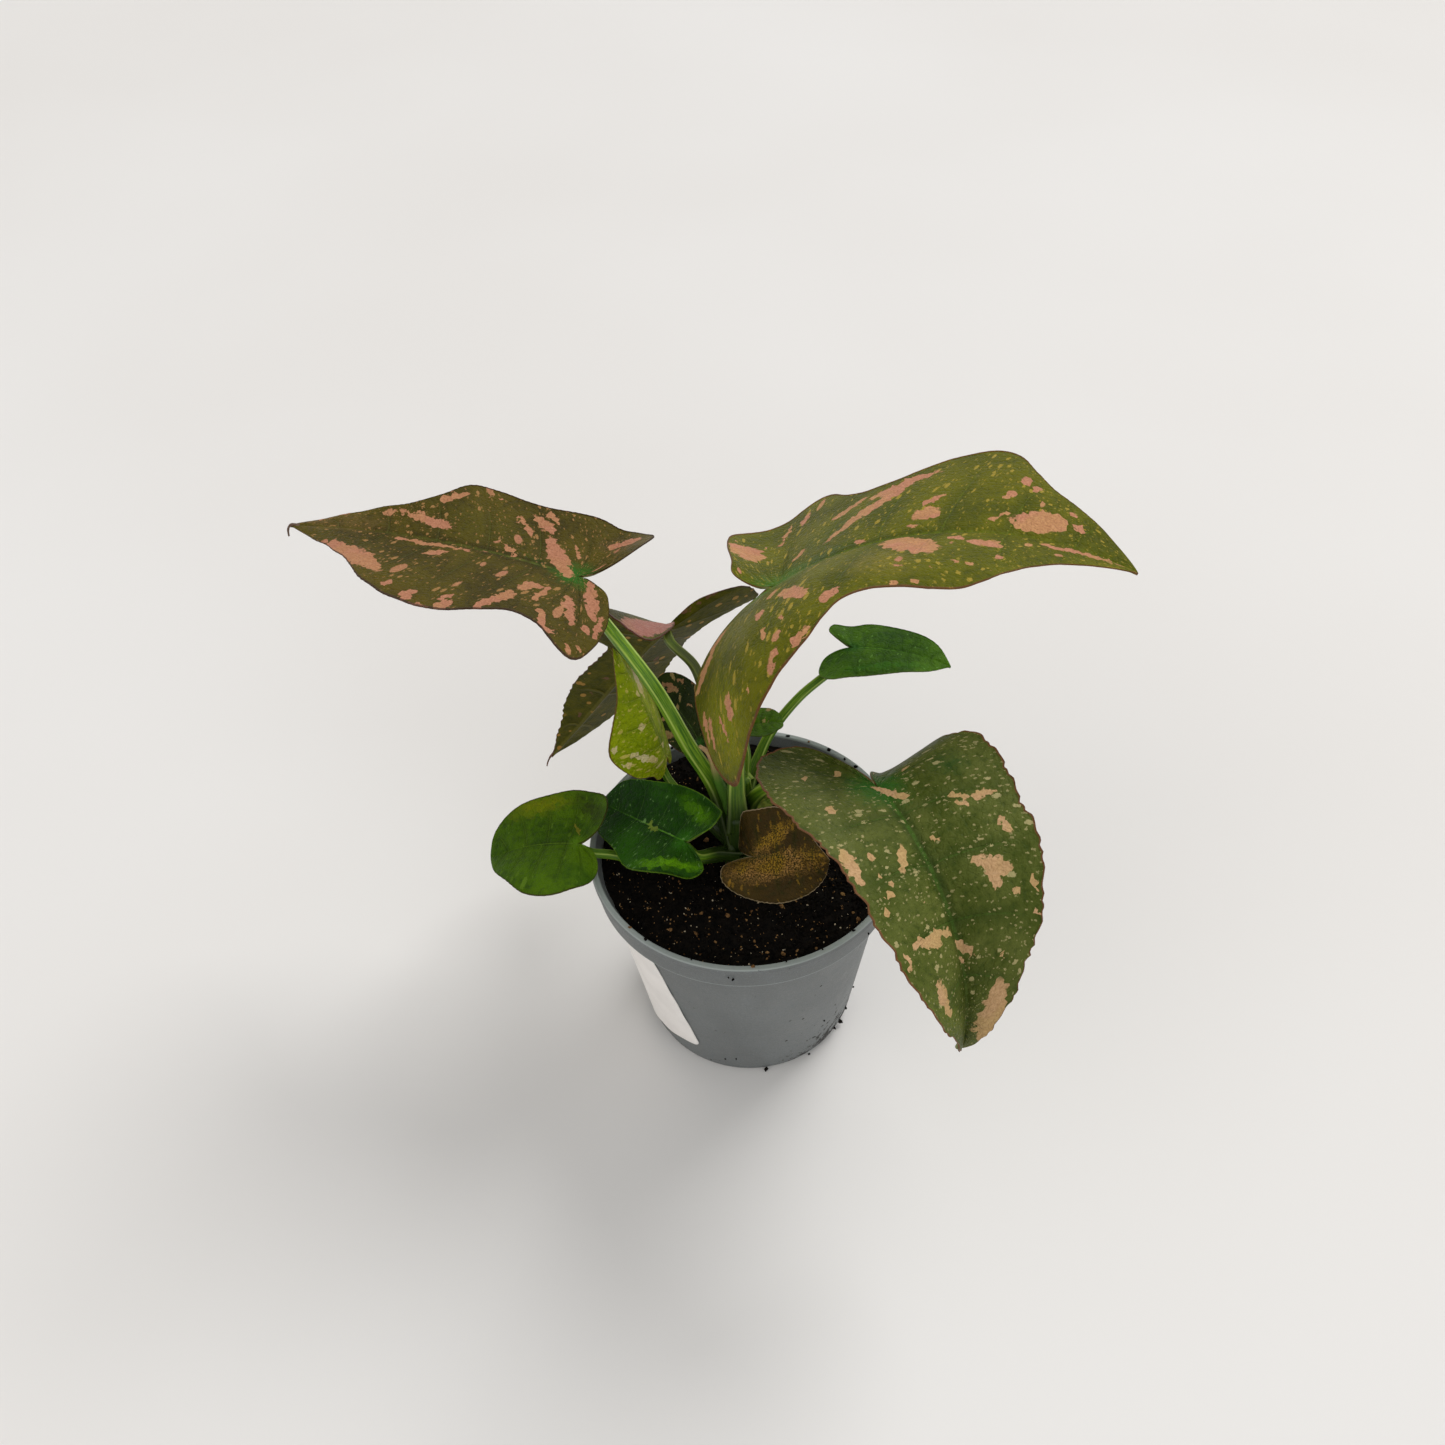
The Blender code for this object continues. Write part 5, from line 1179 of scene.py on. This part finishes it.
def label_material():
    """Matte white paper with faint fibres and a few peat marks."""
    n = Nodes("label_paper")
    place = n.vector("SCALE", n.add("TexCoord").outputs["Object"], scale=1000.0)
    fibre = n.noise(place, 3.0, 5.0, 0.7)
    cloud = n.noise(place, 0.15, 3.0)
    colour = n.mix(n.ramp(cloud, 0.3, 0.7), (250, 246, 242), (242, 238, 234))
    colour = n.mix(n.ramp(fibre, 0.5, 0.8, 0.0, 0.15), colour, (205, 202, 198))
    dots = n.cells(place, 0.28)
    pick = n.add("SeparateColor", {0: dots.outputs["Color"]}).outputs["Red"]
    speck = n.math("MULTIPLY", n.ramp(dots.outputs["Distance"], 0.07, 0.03), n.ramp(pick, 0.7, 0.72))
    colour = n.mix(n.math("MULTIPLY", speck, 0.7), colour, (90, 80, 70))
    return n.finish(Base_Color=colour, Roughness=n.ramp(fibre, 0.3, 0.7, 0.5, 0.62),
                    Normal=n.bump(fibre, 0.00003, 0.4), Specular_IOR_Level=0.35)


# Crumbs on the rim and the wall: direction in degrees, height, size, and 0 for peat or 1 for bark
COLLAR_FOOT = POT_HEIGHT - COLLAR_HEIGHT
STUCK_CRUMBS = (
    (-139, 47.6, 0.42, 1), (-131, 47.6, 0.3, 0), (-112, 47.6, 0.26, 0), (-97, 44.4, 0.42, 0), (-98.5, 45.0, 0.26, 0),
    (-90, 47.6, 0.45, 1), (-78, 47.6, 0.22, 0), (-64, 47.6, 0.24, 0), (-50, 47.6, 0.32, 0), (-43, 43.6, 0.3, 0),
    (-41, 47.6, 0.24, 1), (38, 47.6, 0.5, 0), (44, 47.6, 0.36, 0), (52, 47.6, 0.6, 0), (61, 47.6, 0.34, 1),
    (70, 47.6, 0.45, 0), (118, 47.6, 0.5, 0), (127, 47.6, 0.7, 0), (163, 47.6, 0.3, 0), (-38, 2.2, 0.5, 0),
    (-34, 3.6, 0.4, 0), (-31, 1.2, 0.65, 0), (-28, 5.2, 0.34, 0), (-24, 2.6, 0.42, 0), (-58, 0.45, 0.34, 0),
    (-84, 0.5, 0.38, 0), (-52, 12.5, 0.2, 0), (-19, 8.0, 0.3, 0), (-100, 5.6, 0.3, 0), (-106, 4.8, 0.22, 0))


def make_soil(materials):
    """The soil: a crumbly surface with lumps, bark bits and grit on it."""
    rng = np.random.default_rng(7)
    edge = POT_RIM_RADIUS - 2.25
    rings, steps = 90, 220
    mesh = bpy.data.meshes.new("soil_bed")
    work = bmesh.new()

    def height(x, y):
        level = SOIL_LEVEL + 0.02 * (x + y) + 0.27 * math.sin(0.23 * x + 1.1) * math.cos(0.19 * y - 0.4)
        rough = Vector((x, y, 3.0))
        for scale, size in ((0.45, 0.45), (1.1, 0.35), (2.6, 0.22), (6.0, 0.12)):
            level += size * NOISE(rough * scale)
        return level

    rows = []
    centre = work.verts.new((0, 0, height(0, 0) * MM))
    for ring in range(1, rings + 1):
        row = []
        for step in range(steps):
            angle = math.tau * step / steps
            radius = edge * ring / rings
            x, y = radius * math.cos(angle), radius * math.sin(angle)
            row.append(work.verts.new((x * MM, y * MM, height(x, y) * MM)))
        rows.append(row)
    for radius, z in ((WALL_TOP_RADIUS - WALL - 0.3, 41.0), (wall_radius(2.0) - WALL - 0.3, 2.0)):
        rows.append([work.verts.new((radius * math.cos(math.tau * s / steps) * MM,
                                     radius * math.sin(math.tau * s / steps) * MM, z * MM)) for s in range(steps)])
    for step in range(steps):
        after = (step + 1) % steps
        work.faces.new((centre, rows[0][step], rows[0][after]))
        for inner, outer in zip(rows, rows[1:]):
            work.faces.new((inner[step], outer[step], outer[after], inner[after]))
    work.faces.new(rows[-1][::-1])
    work.to_mesh(mesh)
    work.free()
    mesh.shade_smooth()
    soil = new_object("soil_bed", mesh, [materials[0]])
    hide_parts("soil")

    points, faces, slots = [], [], []
    sphere = bmesh.new()
    bmesh.ops.create_icosphere(sphere, subdivisions=1, radius=1.0)
    ball = np.array([v.co[:] for v in sphere.verts])
    ball_faces = [[v.index for v in f.verts] for f in sphere.faces]
    sphere.free()
    for k in range(5200):
        radius = (edge - 0.4) * math.sqrt(rng.random())
        angle = rng.random() * math.tau
        x, y = radius * math.cos(angle), radius * math.sin(angle)
        kind = rng.random()
        if kind < 0.76:
            slot, size = 0, rng.uniform(0.18, 0.6)
        elif kind < 0.93:
            slot, size = 1, rng.uniform(0.1, 0.28)
        elif kind < 0.99:
            slot, size = 2, rng.uniform(0.08, 0.24)
        else:
            slot, size = 1, rng.uniform(0.4, 0.75)
        shape = rng.uniform(0.45, 1.0, 3) * size
        if slot == 0 and rng.random() < 0.25:
            shape = np.array([size * 2.2, size * 0.35, size * 0.3])
        spin = Matrix.Rotation(rng.random() * math.tau, 3, "Z") @ Matrix.Rotation(rng.uniform(-0.6, 0.6), 3, "X")
        lumps = ball * shape * (1 + 0.3 * rng.standard_normal((len(ball), 1)) * 0.6)
        lumps = lumps @ np.array(spin).T
        start = len(points)
        points += list((lumps + (x, y, height(x, y) + 0.25 * size)) * MM)
        faces += [[v + start for v in f] for f in ball_faces]
        slots += [slot] * len(ball_faces)
    for direction, level, size, slot in STUCK_CRUMBS:
        radius = POT_RIM_RADIUS - 0.9 if level > POT_HEIGHT - 1 else wall_radius(level) + 0.1
        if COLLAR_FOOT < level < POT_HEIGHT - 1:
            radius = POT_RIM_RADIUS - 0.25
        angle = math.radians(direction)
        place = (radius * math.cos(angle), radius * math.sin(angle), level)
        lumps = ball * rng.uniform(0.5, 1.0, 3) * size * (1 + 0.25 * rng.standard_normal((len(ball), 1)))
        start = len(points)
        points += list((lumps + place) * MM)
        faces += [[v + start for v in f] for f in ball_faces]
        slots += [slot] * len(ball_faces)
    mesh = bpy.data.meshes.new("soil_crumbs")
    mesh.from_pydata(points, [], faces)
    mesh.polygons.foreach_set("material_index", slots)
    mesh.update()
    crumbs = new_object("soil_crumbs", mesh, materials)


def NOISE(place):
    """Smooth noise between -1 and 1."""
    from mathutils import noise
    return noise.noise(place)


def grain_material(name, first, second, rough):
    """Soil, bark or grit in two colours."""
    n = Nodes(name)
    place = n.vector("SCALE", n.add("TexCoord").outputs["Object"], scale=1000.0)
    coarse = n.noise(place, 0.7, 4.0, 0.7)
    fine = n.noise(place, 3.5, 4.0, 0.7)
    colour = n.mix(n.ramp(coarse, 0.35, 0.65), first, second)
    colour = n.mix(n.ramp(fine, 0.55, 0.75, 0.0, 0.4), colour, second)
    return n.finish(Base_Color=colour, Roughness=n.ramp(fine, 0.3, 0.7, rough - 0.1, min(1.0, rough + 0.05)),
                    Normal=n.bump(fine, 0.0002, 0.8), Specular_IOR_Level=0.12)


def make_leaves():
    """Every blade, in place of its plain solid."""
    for name, blade in BLADES.items():
        look = dict(LOOKS[name], splashes=SPLASHES.get(name, ()), tints=TINTS.get(name, ()))
        mesh = detail_mesh("leaf" + name[5:], blade, look)
        materials = [leaf_material("upper" + name[5:], blade, look), under_material("under" + name[5:], blade, look)]
        leaf = new_object("leaf" + name[5:], mesh, materials)
        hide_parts(name)


def make_stalks(material):
    """The two crowns with their leaf stalks."""
    for which, shoot in (("front", FRONT_SHOOT), ("back", BACK_SHOOT)):
        foot, top = shoot["radii"]
        route = smooth_route([shoot["foot"], shoot["top"]], 1.0)
        parts = [sweep(route, lambda share, run, total: foot + (top - foot) * share, 28, stalk_section)]
        for name, petiole in PETIOLES[which].items():
            if name in BLADES:
                parts.append(stalk(petiole, BLADES[name]))
        stalks = new_object(which + "_stalks", join_parts(which + "_stalks", parts), [material])
        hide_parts(which + "_shoot")


def paper_material(name, first, second, line, low=None):
    """Dry papery skin with long fibres, and another colour low down where one is given."""
    n = Nodes(name)
    run = n.add("UVMap", uv_map="run").outputs["UV"]
    split = n.add("SeparateXYZ", {0: run})
    stretched = n.add("CombineXYZ", {"X": n.math("MULTIPLY", split.outputs["X"], 34.0),
                                     "Y": n.math("MULTIPLY", split.outputs["Y"], 0.35)}).outputs[0]
    place = n.vector("SCALE", n.add("TexCoord").outputs["Object"], scale=1000.0)
    fibre = n.noise(stretched, 1.0, 4.0, 0.65)
    cloud = n.noise(place, 0.6, 4.0, 0.6)
    colour = n.mix(n.ramp(cloud, 0.35, 0.65), first, second)
    colour = n.mix(n.ramp(fibre, 0.5, 0.7, 0.0, 0.7), colour, line)
    if low:
        colour = n.mix(n.ramp(n.add("SeparateXYZ", {0: place}).outputs["Z"], 66.5, 61.0), colour, low)
    return n.finish(Base_Color=colour, Roughness=n.ramp(cloud, 0.3, 0.7, 0.55, 0.75),
                    Normal=n.bump(fibre, 0.0002, 0.8), Specular_IOR_Level=0.25)


def thread(name, blade, length, radii, bend, material, node):
    """A dry thread or hook that goes on from a blade's tip and bends the given way."""
    flat = np.array([[blade["length"] * 0.93, 0.0], [blade["length"] * 0.985, 0.0]])
    before, tip = blade_surface(blade, flat, 1)
    ahead = (tip - before) / np.linalg.norm(tip - before)
    bend = np.array(bend, float)
    route = [tip - ahead * 1.2 - blade_axes(blade)[2] * 0.15]
    for k in range(14):
        share = k / 13
        route.append(tip + ahead * length * (share - 0.35 * share ** 2) + bend * length * share ** 2)
    route = np.array(route)
    lumps = ripples(np.arange(40) * 0.9, np.zeros(40), len(name))
    part = sweep(route, lambda share, run, total: (radii[0] + (radii[1] - radii[0]) * share)
                 * (1 + 0.25 * lumps[int(share * 39)]), 12, lambda angle, share: 1 - 0.35 * abs(math.sin(angle)))
    piece = new_object(name, join_parts(name, [part]), [material])
    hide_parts(node)


def dry_sheet(name, directions, span, flare, material):
    """A thin crumpled strip round the front crown, ragged at its top."""
    across, along = 26, 34
    foot, top = np.array(FRONT_SHOOT["foot"]), np.array(FRONT_SHOOT["top"])
    points, faces, uvs = [], [], []
    seed = len(name)
    for layer in (0.0, 0.14):
        for i in range(across + 1):
            for j in range(along + 1):
                u, v = i / across, j / along
                ragged = v * (1 - 0.22 * abs(math.sin(5.1 * u + seed)) - 0.2 * (2 * u - 1) ** 2)
                height = span[0] + (span[1] - span[0]) * ragged
                share = (height - foot[2]) / (top[2] - foot[2])
                axis = foot + (top - foot) * share
                angle = math.radians(directions[0] + (directions[1] - directions[0])
                                     * (0.5 + (u - 0.5) * (1 - 0.55 * ragged ** 2)))
                radius = FRONT_SHOOT["radii"][0] * (1 - share) + FRONT_SHOOT["radii"][1] * share + 0.45 + layer
                radius += flare * ragged ** 2 + 0.16 * math.sin(9 * u + 5 * v + seed) + 0.1 * math.sin(23 * u - 9 * v)
                points.append(np.array([axis[0] + radius * math.cos(angle),
                                        axis[1] + radius * math.sin(angle), height]))
                uvs.append((u, 6 * v))
    rows = along + 1
    start = (across + 1) * rows
    for i in range(across):
        for j in range(along):
            a, b, c, d = i * rows + j, (i + 1) * rows + j, (i + 1) * rows + j + 1, i * rows + j + 1
            faces += [(a, b, c, d), (a + start, d + start, c + start, b + start)]
    rim = [i * rows for i in range(across + 1)] + [across * rows + j for j in range(1, rows)]
    rim += [i * rows + along for i in range(across - 1, -1, -1)] + [j for j in range(along - 1, 0, -1)]
    for a, b in zip(rim, rim[1:] + rim[:1]):
        faces.append((a, a + start, b + start, b))
    piece = new_object(name, join_parts(name, [(points, faces, uvs)]), [material])
    return piece


def make_small_parts():
    """Dry tips, the rolled young leaf and the papery sheaths at the crown."""
    dry = paper_material("dry_skin", (128, 104, 88), (88, 66, 52), (168, 146, 128))
    brown = paper_material("brown_tip", (92, 58, 42), (120, 84, 60), (70, 42, 32))
    thread("left_dry_hook", BLADES["blade_left_large"], 3.4, (0.55, 0.22), (0.15, -0.1, -0.75), dry,
           "blade_left_large")
    thread("hanging_thread", BLADES["blade_back_hanging"], 4.2, (0.35, 0.2), (0.0, -0.1, -0.3), brown,
           "blade_back_hanging")
    thread("front_thread", BLADES["blade_front_large"], 2.2, (0.26, 0.1), (0.2, 0.0, -0.2), brown,
           "blade_front_large")
    sheath = dry_sheet("dry_sheath_papery", (214, 262), (43.6, 48.6), 0.8,
                       paper_material("papery", (122, 88, 62), (92, 62, 44), (160, 124, 92)))
    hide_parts("dry_sheath")
    dry_sheet("withered_sheath", (-34, 24), (44.0, 51.0), 1.1,
              paper_material("withered", (128, 106, 88), (98, 76, 62), (164, 142, 118)))
    roll = PETIOLES["front"]["young_roll"]
    route = smooth_route(roll["via"], 0.4)
    wide, thin = roll["radii"]
    part = sweep(route, lambda share, run, total: thin + (wide - thin) * (1 - share) ** 0.8 * min(1.0, 0.55 + share),
                 30, lambda angle, share: 1 + 0.22 * ((angle / math.tau + 2.2 * share) % 1.0 - 0.5))
    piece = new_object("young_roll", join_parts("young_roll", [part]),
                       [paper_material("young_pink", (190, 170, 104), (200, 152, 126), (126, 150, 48),
                                       (70, 112, 24))])
    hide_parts("front_shoot")


def make_stage():
    """A plain pale floor, soft lights and the photograph's camera."""
    bpy.ops.mesh.primitive_plane_add(size=60.0)
    floor = bpy.context.object
    floor.name = "floor"
    n = Nodes("pale_floor")
    place = n.add("TexCoord").outputs["Object"]
    cloud = n.noise(place, 3.0, 3.0)
    colour = n.mix(n.ramp(cloud, 0.3, 0.7), (225, 223, 221), (230, 229, 228))
    floor.data.materials.append(n.finish(Base_Color=colour, Roughness=0.55, Specular_IOR_Level=0.3))

    camera_data = bpy.data.cameras.new("camera")
    camera_data.sensor_width = 36.0
    camera_data.sensor_fit = "HORIZONTAL"
    camera_data.lens = 18.0 / math.tan(math.radians(CAMERA_VIEW / 2))
    camera_data.clip_start = 0.01
    camera = bpy.data.objects.new("camera", camera_data)
    bpy.context.scene.collection.objects.link(camera)
    pitch, roll = math.radians(CAMERA_PITCH), math.radians(CAMERA_ROLL)
    ahead = Vector((0.0, math.cos(pitch), -math.sin(pitch)))
    right = Vector((1.0, 0.0, 0.0))
    up = right.cross(ahead)
    across = math.cos(roll) * right + math.sin(roll) * up
    above = -math.sin(roll) * right + math.cos(roll) * up
    turn = Matrix((across, above, -ahead)).transposed()
    camera.matrix_world = Matrix.Translation(Vector(CAMERA_PLACE) * MM) @ turn.to_4x4()
    bpy.context.scene.camera = camera

    for name, place, spread, strength, colour in (
            ("window", (0.8, 0.9, 1.4), 30, 1.66, (1.0, 0.985, 0.96)),
            ("fill", (-1.1, -0.7, 1.2), 50, 0.3, (1.0, 0.92, 0.82)),
            ("front", (0.5, -1.2, 1.2), 50, 0.5, (0.96, 0.98, 1.0))):
        light_data = bpy.data.lights.new(name, "SUN")
        light_data.angle = math.radians(spread)
        light_data.energy = strength
        light_data.color = colour
        light = bpy.data.objects.new(name, light_data)
        bpy.context.scene.collection.objects.link(light)
        light.location = place
        light.rotation_euler = (Vector((0, 0, 0.05)) - Vector(place)).to_track_quat("-Z", "Y").to_euler()
    world = bpy.data.worlds.new("studio")
    world.use_nodes = True
    tree = world.node_tree
    background = tree.nodes["Background"]
    background.inputs["Color"].default_value = (1.0, 0.99, 0.975, 1.0)
    coordinates = tree.nodes.new("ShaderNodeTexCoord")
    direction = tree.nodes.new("ShaderNodeSeparateXYZ")
    brightness = tree.nodes.new("ShaderNodeMapRange")
    brightness.interpolation_type = "SMOOTHSTEP"
    for key, value in (("From Min", 0.0), ("From Max", 0.5), ("To Min", 0.8), ("To Max", 0.47)):
        brightness.inputs[key].default_value = value
    tree.links.new(coordinates.outputs["Generated"], direction.inputs[0])
    tree.links.new(direction.outputs["Z"], brightness.inputs["Value"])
    tree.links.new(brightness.outputs[0], background.inputs["Strength"])
    bpy.context.scene.world = world


bpy.context.scene.view_settings.view_transform = "Standard"
make_leaves()
make_stalks(stalk_material())
make_pot(pot_material())
make_label(label_material())
make_soil([grain_material("peat", (7, 6, 5), (22, 17, 12), 0.95),
           grain_material("bark", (92, 62, 36), (166, 128, 82), 0.85),
           grain_material("grit", (194, 174, 138), (226, 212, 186), 0.75)])
make_small_parts()
make_stage()
